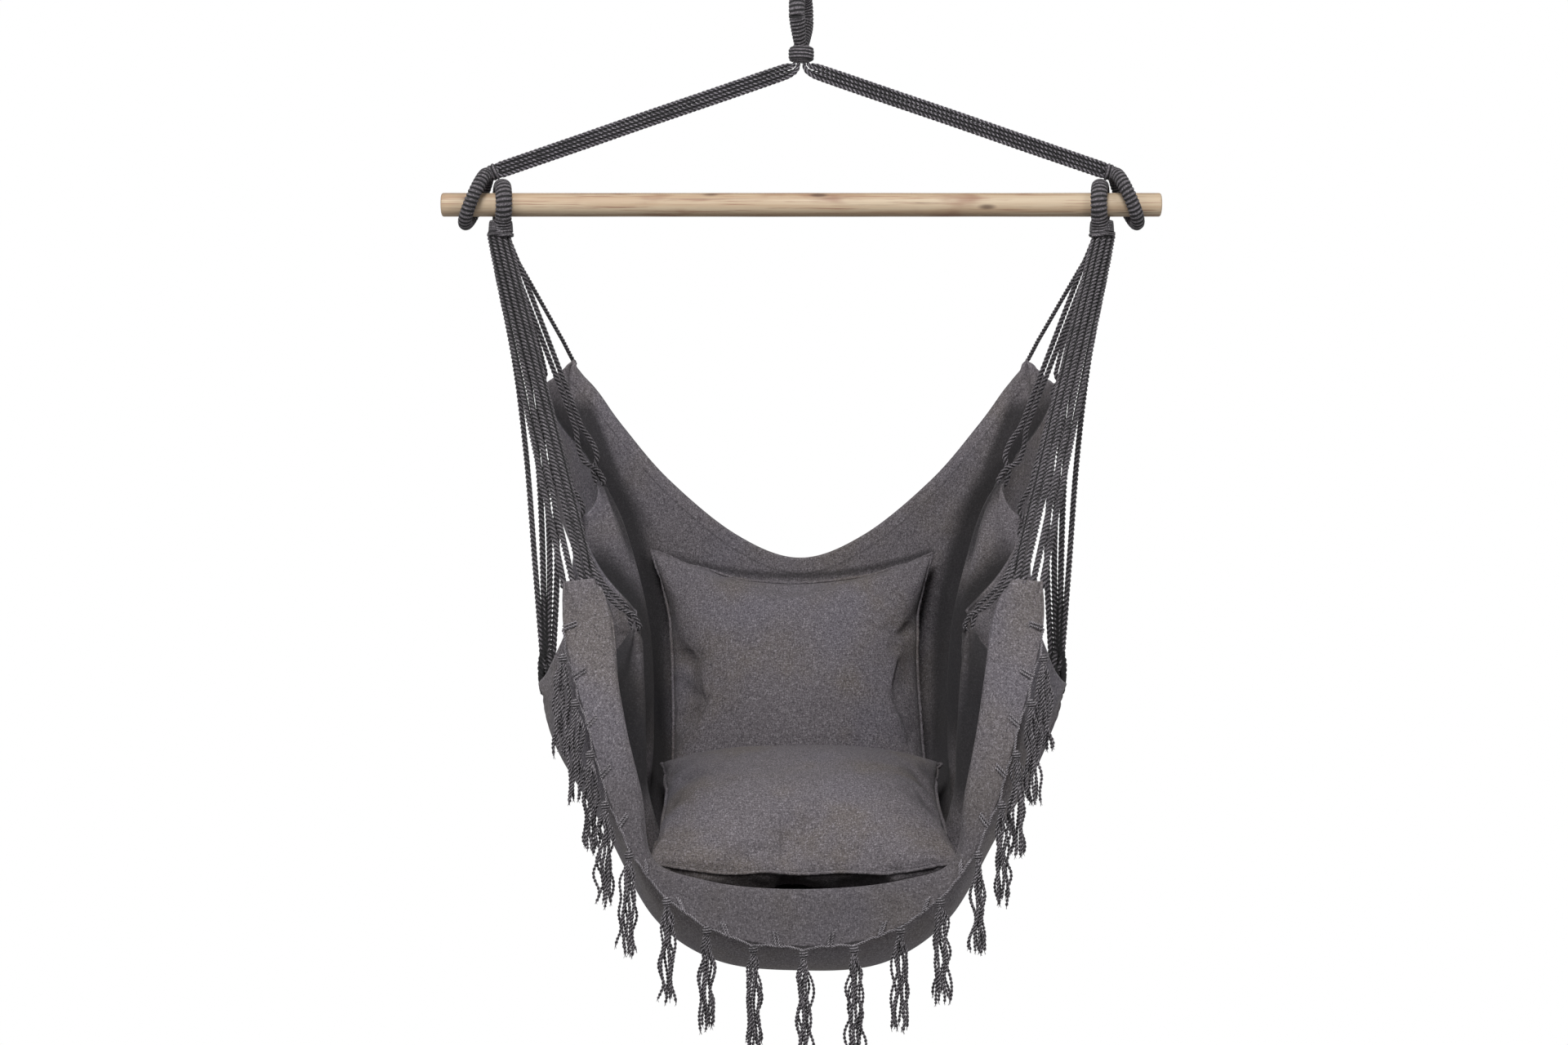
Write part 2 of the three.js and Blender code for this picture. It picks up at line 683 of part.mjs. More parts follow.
for (const [side, label] of [[-1, 'left'], [1, 'right']]) {
  fan.forEach((rope, i) => put(`suspension_rope_${label}_${i + 1}`, suspensionRope(side, rope), 'rope'));
}

// Tassels hang at these places along the laced edge, counted from its middle.
const tasselShares = [0, 0.112, 0.218, 0.315, 0.43, 0.53, 0.622, 0.712, 0.79];

// A point beside the flap: moved out past the laced edge, and forward of the cloth.
function besideFlap(u, inset, proud) {
  const edge = slingAt(u, 1);
  const inner = slingAt(u, 1 - flapProbeShare / bays);
  const inward = inner.clone().sub(edge).normalize();
  const normal = slingNormal(u, 1);
  if (normal.y > 0) normal.negate();
  return edge.addScaledVector(inward, inset).addScaledVector(normal, proud);
}

const tasselPlaces = [...tasselShares.slice(1).map((u) => -u).reverse(), ...tasselShares];
const betweenTassels = tasselPlaces.slice(1).map((u, i) => (u + tasselPlaces[i]) / 2);
const stitchPlaces = [-lacingEndShare, ...betweenTassels, lacingEndShare];
const knotOutset = lacingOutset + lacingRadius + knotGap + tasselKnotRadius;

// The lacing goes from stitch to stitch, and passes out over the edge to each tassel's knot between them.
function lacing() {
  const points = [];
  stitchPlaces.forEach((u, i) => {
    points.push(besideFlap(u, stitchInset, clothThickness / 2 + stitchProud));
    if (i < tasselPlaces.length) points.push(besideFlap(tasselPlaces[i], -lacingOutset, lacingProud));
  });
  const path = new THREE.CatmullRomCurve3(points, false, 'centripetal');
  const steps = (points.length - 1) * lacingStepsPerBay;
  const rings = [];
  let up = V(0, -1, 0);
  for (let i = 0; i <= steps; i += 1) {
    const t = i / steps;
    const way = path.getTangent(t);
    const across = way.clone().cross(up).normalize();
    up = across.clone().cross(way).normalize();
    rings.push(roundRing(path.getPoint(t), across, up, lacingRadius, lacingSides));
  }
  return skin(rings, false);
}

put('edge_lacing', lacing(), 'yarn');

// Tassel: a ball of a knot that touches the lacing, and a skirt that hangs from it.
function tassel(knotCentre) {
  const knot = tasselKnotRadius;
  const profile = [
    [0, knot],
    [knot * Math.SQRT1_2, knot * Math.SQRT1_2],
    [knot, 0],
    [tasselNeckRadius, -knot],
    [(tasselNeckRadius + tasselEndRadius) / 2, knot - tasselLength / 3],
    [tasselEndRadius, knot - tasselLength],
    [0, knot - tasselLength],
  ].map(([r, z]) => new THREE.Vector2(r, z));
  const geometry = new THREE.LatheGeometry(profile.reverse(), tasselSides);
  geometry.rotateX(Math.PI / 2);
  geometry.translate(...knotCentre.toArray());
  return geometry;
}

tasselPlaces.forEach((u, i) => put(`tassel_${i + 1}`, tassel(besideFlap(u, -knotOutset, lacingProud)), 'yarn'));

for (const [name, gap] of windingGaps) {
  console.log(`Least gap between turns of the ${name}: ${gap.toFixed(2)} mm`);
}
console.log(`Seat cushion lowered by ${seatDown.toFixed(1)} mm from ${seatLift} mm above its lowest place`);
console.log(`Back cushion moved back by ${backTravel.toFixed(1)} mm`);

export default chair;
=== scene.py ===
"""Hammock chair: its visible pieces, built in the part's own frame (metres, +Z up, facing -Y)."""

import logging
import math
from dataclasses import dataclass, field
from enum import Enum
from typing import Mapping, Optional, Sequence, Union

import bpy
import numpy as np
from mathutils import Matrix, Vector

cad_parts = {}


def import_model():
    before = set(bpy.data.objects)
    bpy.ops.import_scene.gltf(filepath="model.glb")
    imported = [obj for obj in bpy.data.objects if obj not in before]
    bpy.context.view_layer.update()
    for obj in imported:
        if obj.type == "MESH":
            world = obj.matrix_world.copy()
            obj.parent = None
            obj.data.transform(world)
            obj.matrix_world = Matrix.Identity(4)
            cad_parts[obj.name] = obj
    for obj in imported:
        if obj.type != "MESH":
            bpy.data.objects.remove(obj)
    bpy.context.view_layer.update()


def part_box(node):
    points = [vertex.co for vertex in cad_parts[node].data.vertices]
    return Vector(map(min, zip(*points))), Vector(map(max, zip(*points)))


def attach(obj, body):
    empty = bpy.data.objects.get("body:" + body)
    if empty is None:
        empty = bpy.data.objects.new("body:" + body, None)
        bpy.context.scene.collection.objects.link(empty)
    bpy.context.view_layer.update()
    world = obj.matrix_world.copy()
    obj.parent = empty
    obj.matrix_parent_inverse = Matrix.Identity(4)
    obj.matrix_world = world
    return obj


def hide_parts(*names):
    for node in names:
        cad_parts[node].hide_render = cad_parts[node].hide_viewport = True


Array = np.ndarray
Pairs = tuple[tuple[float, float], ...]
Material = bpy.types.Material
Object = bpy.types.Object
log = logging.getLogger("hammock_chair")

MM = 0.001
TURN = 2 * math.pi
QUARTER = math.pi / 2
SPAN_SAMPLES = 24
# How fast the painted shade falls off out of the hollows between wound turns
HOLLOW_POWER = 0.6

# Values of the construction, in millimetres, with angles in radians
BAR_LENGTH = 1000.0
BAR_RADIUS = 16.5
BAR_DROP = 285.0
SEAT_GAP = 0.4
EYE_TURN = math.radians(12)
HANGING_CORE = 5.6
HANGING_LIMB = 11.67
HANGING_WIDTH = 38.0
HANGING_OPENING = 46.0
HANGING_NECK_BOTTOM = 86.0
BAR_LIMB = 9.67
INNER_REACH = 418.0
INNER_NECK_DROP = 52.0
COLLAR_FOOT = -BAR_DROP - INNER_NECK_DROP
COLLAR_RISE = 6.4
OUTER_REACH = 456.0
OUTER_LEAN = math.radians(24)
OUTER_RISE = 18.0
OUTER_SPREAD = 4.0
OUTER_NECK = 15.0
PAIR_HALF = 3.45
STACK_HALF = 6.95
BEND_RADIUS = 9.0
BEND_LEAD = 1.0
SWING_GAP = 0.96
ROPE_LEAD = 7.0
SLING_HALF_WIDTH = 372.0
SLING_DEPTH = 615.0
SLING_DROP = 1045.0
SLING_FORWARD = 32.5
CUSHION_SIDE = 400.0
CUSHION_THICKNESS = 122.0
BACK_TOP = 768.0
SEAT_TILT = math.radians(11)
BACK_LEAN = math.radians(16.5)
TASSEL_SHARES = (0, 0.112, 0.218, 0.315, 0.43, 0.53, 0.622, 0.712, 0.79)
TASSEL_PLACES = tuple(-share for share in TASSEL_SHARES[:0:-1]) + TASSEL_SHARES
TASSEL_LENGTH = 138.0
KNOT_RADIUS = 5.4
KNOT_OUTSET = 9.1
LACING_PROUD = 5.0
LACING_END = 0.85

# The sling's net: rows from the hem behind the head to the laced edge, columns from middle to side,
# each place as shares of the half width, the depth and the drop
SLING_NET = (
    ((0, 0.426, 0.473), (0.255, 0.423, 0.44), (0.524, 0.408, 0.362), (0.704, 0.387, 0.287),
     (0.801, 0.372, 0.239), (0.86, 0.359, 0.213), (0.895, 0.35, 0.194)),
    ((0, 0.42, 0.646), (0.255, 0.418, 0.636), (0.524, 0.402, 0.603), (0.766, 0.361, 0.536),
     (0.914, 0.317, 0.44), (0.981, 0.276, 0.335), (0.99, 0.244, 0.24)),
    ((0, 0.35, 0.866), (0.336, 0.293, 0.88), (0.559, 0.182, 0.823), (0.565, 0.154, 0.713),
     (0.575, 0.13, 0.569), (0.667, 0.107, 0.431), (0.769, 0.098, 0.361)),
    ((0, 0.195, 0.935), (0.323, 0.154, 0.923), (0.605, 0.081, 0.856), (0.78, 0.033, 0.761),
     (0.866, 0, 0.636), (0.855, 0.008, 0.522), (0.82, 0.016, 0.432)),
    ((0, -0.065, 0.957), (0.228, -0.098, 0.935), (0.452, -0.163, 0.861), (0.548, -0.182, 0.77),
     (0.554, -0.18, 0.694), (0.57, -0.179, 0.617), (0.597, -0.179, 0.547)),
    ((0, -0.268, 0.983), (0.296, -0.268, 0.972), (0.523, -0.268, 0.913), (0.691, -0.26, 0.806),
     (0.812, -0.257, 0.73), (0.876, -0.25, 0.675), (0.91, -0.244, 0.625)),
    ((0, -0.46, 0.941), (0.255, -0.455, 0.932), (0.476, -0.439, 0.887), (0.615, -0.426, 0.799),
     (0.72, -0.415, 0.713), (0.766, -0.398, 0.636), (0.806, -0.382, 0.55)),
    ((0, -0.54, 0.859), (0.323, -0.533, 0.85), (0.505, -0.517, 0.823), (0.551, -0.491, 0.74),
     (0.616, -0.463, 0.632), (0.648, -0.442, 0.543), (0.712, -0.431, 0.495)),
    ((0, -0.574, 0.921), (0.255, -0.569, 0.908), (0.484, -0.553, 0.856), (0.629, -0.524, 0.771),
     (0.723, -0.496, 0.665), (0.806, -0.459, 0.558), (0.812, -0.447, 0.494)),
)
NET_SPANS = len(SLING_NET) - 1


# Small helpers

def vec(x: float, y: float, z: float) -> Array:
    """Makes a point or direction of X (to the right), Y (back) and Z (up)."""
    return np.array([x, y, z], dtype=float)


def unit(vectors: Array) -> Array:
    """Scales the vectors along the last axis to length one."""
    size = np.linalg.norm(vectors, axis=-1, keepdims=True)
    return vectors / np.maximum(size, 1e-12)


def ease(value: Array) -> Array:
    """Runs smoothly from 0 to 1 (3t^2 - 2t^3, held outside 0..1)."""
    held = np.clip(value, 0.0, 1.0)
    return held * held * (3 - 2 * held)


def ramp(value: Array, start: float, end: float) -> Array:
    """Runs smoothly from 0 at a start to 1 at an end, which may be the smaller of the two."""
    return ease((value - start) / (end - start))


def bell(value: Array) -> Array:
    """Falls from 1 on both sides of 0 (e to the minus t^2)."""
    return np.exp(-value**2)


def rounded(near: Array, least: float = 0.0) -> Array:
    """Gives a round end's size (root of 1 - (1 - t)^2 at the share t of the end's length)."""
    return np.sqrt(np.clip(1 - (1 - np.clip(near, 0, 1)) ** 2, least, 1))


def half_rounds(phase: Array) -> Array:
    """Gives the outline of half rounds side by side, one to each unit (root of 1 - t^2)."""
    return np.sqrt(np.clip(1 - (2 * (phase % 1) - 1) ** 2, 0, 1))


def arc_length(path: Array) -> Array:
    """Measures the distance from a path's start to each of its points."""
    steps = np.linalg.norm(np.diff(path, axis=0), axis=1)
    return np.concatenate([[0.0], np.cumsum(steps)])


def resample(path: Array, step: float) -> Array:
    """Places points at even distances along a path.

    Args:
        path: Points, one per row.
        step: Distance wanted between two points.

    Returns:
        The evenly spaced points.
    """
    run = arc_length(path)
    count = max(int(round(run[-1] / step)), 2) + 1
    where = np.linspace(0.0, run[-1], count)
    return np.stack([np.interp(where, run, path[:, axis]) for axis in range(3)], axis=1)


def cubic_weights(where: Array, count: int) -> Array:
    """Gives the weights of the four-point cubic through a row of places.

    Args:
        where: Places on the row, counted in spans from its first point.
        count: Number of points in the row.

    Returns:
        One row of weights per place, one column per point.
    """
    cell = np.clip(np.floor(where).astype(int), 0, count - 2)
    t = where - cell
    pieces = 0.5 * np.stack([
        -t + 2 * t**2 - t**3,
        2 - 5 * t**2 + 3 * t**3,
        t + 4 * t**2 - 3 * t**3,
        -t**2 + t**3,
    ], axis=1)
    wide = np.zeros((len(where), count + 2))
    rows = np.arange(len(where))
    for k in range(4):
        wide[rows, cell + k] += pieces[:, k]
    weights = wide[:, 1:-1].copy()
    weights[:, 0] += 2 * wide[:, 0]
    weights[:, 1] -= wide[:, 0]
    weights[:, -1] += 2 * wide[:, -1]
    weights[:, -2] -= wide[:, -1]
    return weights


def curve(points: Sequence[Array], step: float) -> Array:
    """Runs a smooth curve through points (the four-point cubic, straight on past its ends).

    Args:
        points: The places it passes through.
        step: Distance wanted between two points of the result.

    Returns:
        Evenly spaced points on the curve.
    """
    places = np.asarray(points, dtype=float)
    spans = len(places) - 1
    weights = cubic_weights(np.linspace(0, spans, SPAN_SAMPLES * spans + 1), len(places))
    return resample(weights @ places, step)


def waves(u: Array, v: Array, seed: int, count: int, low: float, high: float) -> Array:
    """Sums plane waves of random direction and phase, for an uneven surface.

    Args:
        u: First coordinate.
        v: Second coordinate, in the same unit.
        seed: Makes the sum the same each time.
        count: Number of waves.
        low: Least number of waves per unit.
        high: Greatest number of waves per unit.

    Returns:
        Values of about -1 to 1.
    """
    chance = np.random.default_rng(seed)
    total = np.zeros(np.broadcast(u, v).shape)
    for _ in range(count):
        angle, phase = chance.uniform(0, TURN, 2)
        pitch = chance.uniform(low, high)
        total += np.sin(TURN * pitch * (u * math.cos(angle) + v * math.sin(angle)) + phase)
    return total / math.sqrt(2 * count)


# Surfaces

@dataclass
class Patch:
    """A grid of points that is skinned with four-sided faces."""

    points: Array
    round_rows: bool = False
    round_cols: bool = True
    capped: bool = True
    solid: bool = True
    uv: Optional[Array] = None
    # Painted shade of each point, 0 (open) to 1 (dark), which the materials mix into their colour
    painted_shade: Optional[Array] = None

    def polygons(self) -> tuple[list[Array], list[Array]]:
        """Lists the faces, turned outwards.

        Returns:
            Arrays of point numbers, and arrays of places in the texture grid, face by face.
        """
        rows, cols = self.points.shape[:2]
        r = np.arange(rows if self.round_rows else rows - 1)[:, None]
        c = np.arange(cols if self.round_cols else cols - 1)[None, :]
        corners = [(r, c), (r + 1, c), (r + 1, c + 1), (r, c + 1)]
        wide = cols + int(self.round_cols)
        quads = np.stack([(i % rows) * cols + j % cols for i, j in corners], axis=-1).reshape(-1, 4)
        marks = np.stack([i * wide + j for i, j in corners], axis=-1).reshape(-1, 4)
        polygons, places = [quads], [marks]
        if self.capped and self.round_cols and not self.round_rows:
            ring = np.arange(cols)[None, :]
            polygons += [ring, ring[:, ::-1] + (rows - 1) * cols]
            places += [np.zeros_like(ring), np.full_like(ring, (rows - 1) * wide)]
        if self.solid and self._volume(polygons) < 0:
            polygons = [p[:, ::-1] for p in polygons]
            places = [p[:, ::-1] for p in places]
        return polygons, places

    def _volume(self, polygons: Sequence[Array]) -> float:
        """Measures the enclosed volume (a sixth of the sum of each triangle's triple product).

        Args:
            polygons: Arrays of point numbers.

        Returns:
            The volume, negative where the faces are turned inwards.
        """
        points = self.points.reshape(-1, 3)
        points = points - points.mean(axis=0)
        total = 0.0
        for faces in polygons:
            first = points[faces[:, 0]]
            for k in range(1, faces.shape[1] - 1):
                total += np.sum(np.cross(points[faces[:, k]], points[faces[:, k + 1]]) * first)
        return total / 6

    def marks(self) -> Array:
        """Gives the texture places.

        Returns:
            One pair of values per place in the texture grid.
        """
        if self.uv is not None:
            return self.uv.reshape(-1, 2)
        rows = self.points.shape[0] + int(self.round_rows)
        cols = self.points.shape[1] + int(self.round_cols)
        u, v = np.meshgrid(np.linspace(0, 1, cols), np.linspace(0, 1, rows))
        return np.stack([u, v], axis=-1).reshape(-1, 2)


def linked(name: str, data: bpy.types.ID) -> Object:
    """Makes an object in the scene.

    Args:
        name: Its name.
        data: Its mesh, camera or light.

    Returns:
        The object.
    """
    made = bpy.data.objects.new(name, data)
    bpy.context.scene.collection.objects.link(made)
    return made


def mesh_object(name: str, patches: Sequence[Patch]) -> Object:
    """Makes one object from patches, in the part's frame.

    Args:
        name: The object's name.
        patches: The surfaces, in millimetres.

    Returns:
        The object, linked to the scene.
    """
    verts, loops, sizes, places, point_shades = [], [], [], [], []
    start = 0
    for patch in patches:
        polygons, marks = patch.polygons()
        table = patch.marks()
        for faces, where in zip(polygons, marks):
            loops.append((faces + start).ravel())
            sizes.append(np.full(len(faces), faces.shape[1]))
            places.append(table[where.ravel()])
        verts.append(patch.points.reshape(-1, 3) * MM)
        point_shade = np.zeros(patch.points.shape[:2]) if patch.painted_shade is None else patch.painted_shade
        point_shades.append(np.broadcast_to(point_shade, patch.points.shape[:2]).ravel())
        start += len(verts[-1])
    points, corner, count = np.concatenate(verts), np.concatenate(loops), np.concatenate(sizes)
    mesh = bpy.data.meshes.new(name)
    mesh.vertices.add(len(points))
    mesh.vertices.foreach_set("co", points.astype(np.float32).ravel())
    mesh.loops.add(len(corner))
    mesh.loops.foreach_set("vertex_index", corner.astype(np.int32))
    mesh.polygons.add(len(count))
    mesh.polygons.foreach_set("loop_start", (np.cumsum(count) - count).astype(np.int32))
    layer = mesh.uv_layers.new(name="UVMap")
    layer.data.foreach_set("uv", np.concatenate(places).astype(np.float32).ravel())
    mesh.polygons.foreach_set("use_smooth", np.ones(len(count), dtype=bool))
    # Each point's painted shade, stored for the materials to darken their colour by
    painted_shade_layer = mesh.attributes.new("painted_shade", "FLOAT", "POINT")
    painted_shade_layer.data.foreach_set("value", np.concatenate(point_shades).astype(np.float32))
    mesh.update(calc_edges=True)
    mesh.validate()
    return linked(name, mesh)


def sweep(path: Array, radius: Array, reference: Array, turn: Optional[Array] = None,
          closed: bool = False, stretch: float = 1.0) -> Patch:
    """Carries a round section along a path.

    Args:
        path: Centre line, one point per ring.
        radius: Distance from the centre line, rings by sides.
        reference: Direction that is never along the path, one or one per ring.
        turn: Extra turn of each ring round the path.
        closed: Whether the path runs back into its start.
        stretch: Width given to one turn of the section in the texture, in metres.

    Returns:
        The surface, with metres along the path as its second texture value.
    """
    if closed:
        tangent = np.roll(path, -1, axis=0) - np.roll(path, 1, axis=0)
    else:
        tangent = np.gradient(path, axis=0)
    tangent = unit(tangent)
    side = unit(np.cross(np.broadcast_to(reference, path.shape), tangent))
    up = np.cross(tangent, side)
    sides = radius.shape[1]
    angle = TURN * np.arange(sides)[None, :] / sides + (0 if turn is None else turn[:, None])
    points = (path[:, None] + side[:, None] * (radius * np.cos(angle))[..., None]
              + up[:, None] * (radius * np.sin(angle))[..., None])
    run = arc_length(np.concatenate([path, path[:1]]) if closed else path) * MM
    u, v = np.meshgrid(np.linspace(0, stretch, sides + 1), run)
    return Patch(points, round_rows=closed, uv=np.stack([u, v], axis=-1))


@dataclass(frozen=True)
class Lay:
    """The section of a twisted rope, how it turns, and how its binding holds it thin at the start."""

    radius: float = 3.3
    pitch: float = 19.5
    strands: int = 3
    sides: int = 15
    hand: int = 1
    step: float = 1.6
    held: float = 0.84
    held_length: float = 70.0
    blunt: float = 0.04

    def section(self) -> Array:
        """Gives the outline of round strands side by side (d cos f + root of d^2 - d^2 sin^2 f).

        Returns:
            The distance from the rope's middle, side by side.
        """
        share = np.arange(self.sides) * self.strands / self.sides % 1
        angle = (share - 0.5) * TURN / self.strands
        half = 0.5 * self.radius
        return half * np.cos(angle) + np.sqrt(half**2 - (half * np.sin(angle)) ** 2)

    def along(self, path: Array, reference: Array, phase: float = 0.0) -> Patch:
        """Lays the rope along a path, with both ends rounded off.

        Args:
            path: The rope's centre line.
            reference: Direction that is never along the path.
            phase: Turn of the strands at the start.

        Returns:
            The rope's surface.
        """
        even = resample(path, self.step)
        run = arc_length(even)
        section = np.broadcast_to(self.section(), (len(even), self.sides))
        near = np.minimum(run, run[-1] - run) / self.radius
        swell = self.held + (1 - self.held) * ease(run / self.held_length)
        radius = section * rounded(near, self.blunt)[:, None] * swell[:, None]
        turn = phase + self.hand * TURN * run / self.pitch
        made = sweep(even, radius, reference, turn, stretch=TURN * self.radius * MM)
        # Painted shade in the valleys between the strands
        made.painted_shade = (section.max() - section) / (section.max() - section.min())
        return made


def paint_shade_beside(patch: Patch, lines: Sequence[tuple[Array, float]], axis: int,
                  reach: float = 2.4, least_points: int = 5) -> None:
    """Paints shade on a rope's surface where another rope lies close beside it.

    Args:
        patch: The rope's surface.
        lines: The other ropes' centre lines, with their radii.
        axis: The axis that the ropes follow most (0 for X, 2 for Z).
        reach: The widest gap that is still dark.
        least_points: Number of points under which a leg is passed over.
    """
    along = patch.points[..., axis]
    near = np.zeros(along.shape)
    for whole, radius in lines:
        low = int(whole[:, axis].argmin())
        for line in (whole[:low + 1], whole[low:]):
            if len(line) < least_points:
                continue
            line = line[np.argsort(line[:, axis])]
            beside = np.stack([np.interp(along, line[:, axis], line[:, k]) for k in range(3)], axis=-1)
            gap = np.linalg.norm(patch.points - beside, axis=-1) - radius
            inside = (along > line[0, axis]) & (along < line[-1, axis])
            near = np.maximum(near, np.clip(1 - gap / reach, 0, 1) * inside)
    patch.painted_shade = np.maximum(patch.painted_shade, near)


@dataclass(frozen=True)
class Serving:
    """A cord wound closely round a limb: its base, how far the turns stand out, and their pitch."""

    base: float
    bead: float
    pitch: float
    sides: int = 30
    samples: int = 8

    def beads(self, run: Array, closed: bool) -> Array:
        """Gives the outline of the turns.

        Args:
            run: Distance along the limb at each ring.
            closed: Whether the limb runs back into its start.

        Returns:
            Shares of the bead's height, rings by sides.
        """
        pitch = run[-1] / max(round(run[-1] / self.pitch), 1) if closed else self.pitch
        return half_rounds(run[:, None] / pitch - np.arange(self.sides)[None, :] / self.sides)

    def along(self, path: Array, reference: Array, closed: bool = False,
              scale: Pairs = ((0, 1),), widen: float = 1.0) -> Patch:
        """Winds the cord along a limb.

        Args:
            path: The limb's centre line.
            reference: Direction that is never along the path.
            closed: Whether the limb runs back into its start.
            scale: Pairs of share along the limb and thickness there.
            widen: How many times wider the limb is along X.

        Returns:
            The wound surface.
        """
        if closed:
            path = np.concatenate([path, path[:1]])
        even = resample(path, self.pitch / self.samples)
        run = arc_length(even)
        beads = self.beads(run, closed)
        radius = (self.base + self.bead * beads) * np.interp(run / run[-1], *zip(*scale))[:, None]
        if closed:
            even, radius, beads = even[:-1], radius[:-1], beads[:-1]
        made = sweep(even, radius, reference, closed=closed, stretch=TURN * self.base * MM)
        made.points = even[:, None] + (made.points - even[:, None]) * vec(widen, 1, 1)
        # Painted shade in the hollows between the turns
        made.painted_shade = (1 - beads) ** HOLLOW_POWER
        return made


@dataclass(frozen=True)
class Sleeve:
    """A cord wound round an upright neck: its ends, its outer radii at shares from top to bottom, how far
    the turns stand out, and their pitch. Inside it is a round hole.
    """

    top: float
    bottom: float
    profile: Pairs
    bead: float
    pitch: float
    hole: float = 12.2
    least_wall: float = 0.4
    sides: int = 48
    turn_rows: int = 9
    end_turns: float = 0.6

    def at(self, x: float) -> Patch:
        """Winds the sleeve round a neck.

        Args:
            x: The neck's place along the bar.

        Returns:
            The sleeve's surface.
        """
        share = np.linspace(0, 1, int((self.top - self.bottom) / self.pitch * self.turn_rows))
        height = self.top + (self.bottom - self.top) * share
        turns = (self.top - height)[:, None] / self.pitch
        beads = half_rounds(turns - np.arange(self.sides)[None, :] / self.sides)
        base = np.interp(share, *zip(*self.profile)) - self.bead
        near = np.minimum(height - self.bottom, self.top - height) / (self.end_turns * self.pitch)
        least = self.hole + self.least_wall
        outer = least + (base[:, None] + self.bead * beads - least) * rounded(near)[:, None]
        hole = np.full((3, self.sides), self.hole)
        radius = np.concatenate([outer, hole])
        heights = np.concatenate([height, np.linspace(self.bottom, self.top, 3)])
        angle = TURN * np.arange(self.sides) / self.sides
        points = np.stack([x + radius * np.cos(angle), radius * np.sin(angle),
                           np.broadcast_to(heights[:, None], radius.shape)], axis=-1)
        u, v = np.meshgrid(np.linspace(0, TURN * self.profile[0][1] * MM, self.sides + 1),
                           np.append(-heights, -heights[0]) * MM)
        # Painted shade between the turns, and full painted shade on the hole's inner wall
        depth = np.concatenate([(1 - beads) ** HOLLOW_POWER, np.ones_like(hole)])
        return Patch(points, round_rows=True, uv=np.stack([u, v], axis=-1), painted_shade=depth)


# Finishes

Value = Union["Socket", float, Sequence[float]]
WHITE = (1.0, 1.0, 1.0, 1.0)


class Socket:
    """An output in a node tree, with arithmetic on it."""

    def __init__(self, graph: "Graph", link: bpy.types.NodeSocket) -> None:
        """Keeps the output and the tree that it is in."""
        self.graph = graph
        self.link = link

    def _math(self, operation: str, *values: Value) -> "Socket":
        """Adds one step of arithmetic on one or two values."""
        return self.graph.add("ShaderNodeMath", {"operation": operation}, dict(enumerate(values)))

    def __add__(self, other: Value) -> "Socket":
        """Adds a value on the right."""
        return self._math("ADD", self, other)

    def __radd__(self, other: Value) -> "Socket":
        """Adds a value on the left."""
        return self._math("ADD", other, self)

    def __sub__(self, other: Value) -> "Socket":
        """Takes a value away."""
        return self._math("SUBTRACT", self, other)

    def __rsub__(self, other: Value) -> "Socket":
        """Is taken away from a value."""
        return self._math("SUBTRACT", other, self)

    def __mul__(self, other: Value) -> "Socket":
        """Multiplies by a value on the right."""
        return self._math("MULTIPLY", self, other)

    def __rmul__(self, other: Value) -> "Socket":
        """Multiplies by a value on the left."""
        return self._math("MULTIPLY", other, self)

    def __abs__(self) -> "Socket":
        """Drops the sign."""
        return self._math("ABSOLUTE", self)


def linear(code: str) -> tuple[float, float, float, float]:
    """Turns a display colour into linear light (the standard display curve).

    Args:
        code: Six hexadecimal digits.

    Returns:
        Red, green, blue and 1.
    """
    parts = [int(code[k:k + 2], 16) / 255 for k in (0, 2, 4)]
    light = [p / 12.92 if p <= 0.04045 else ((p + 0.055) / 1.055) ** 2.4 for p in parts]
    return (light[0], light[1], light[2], 1.0)


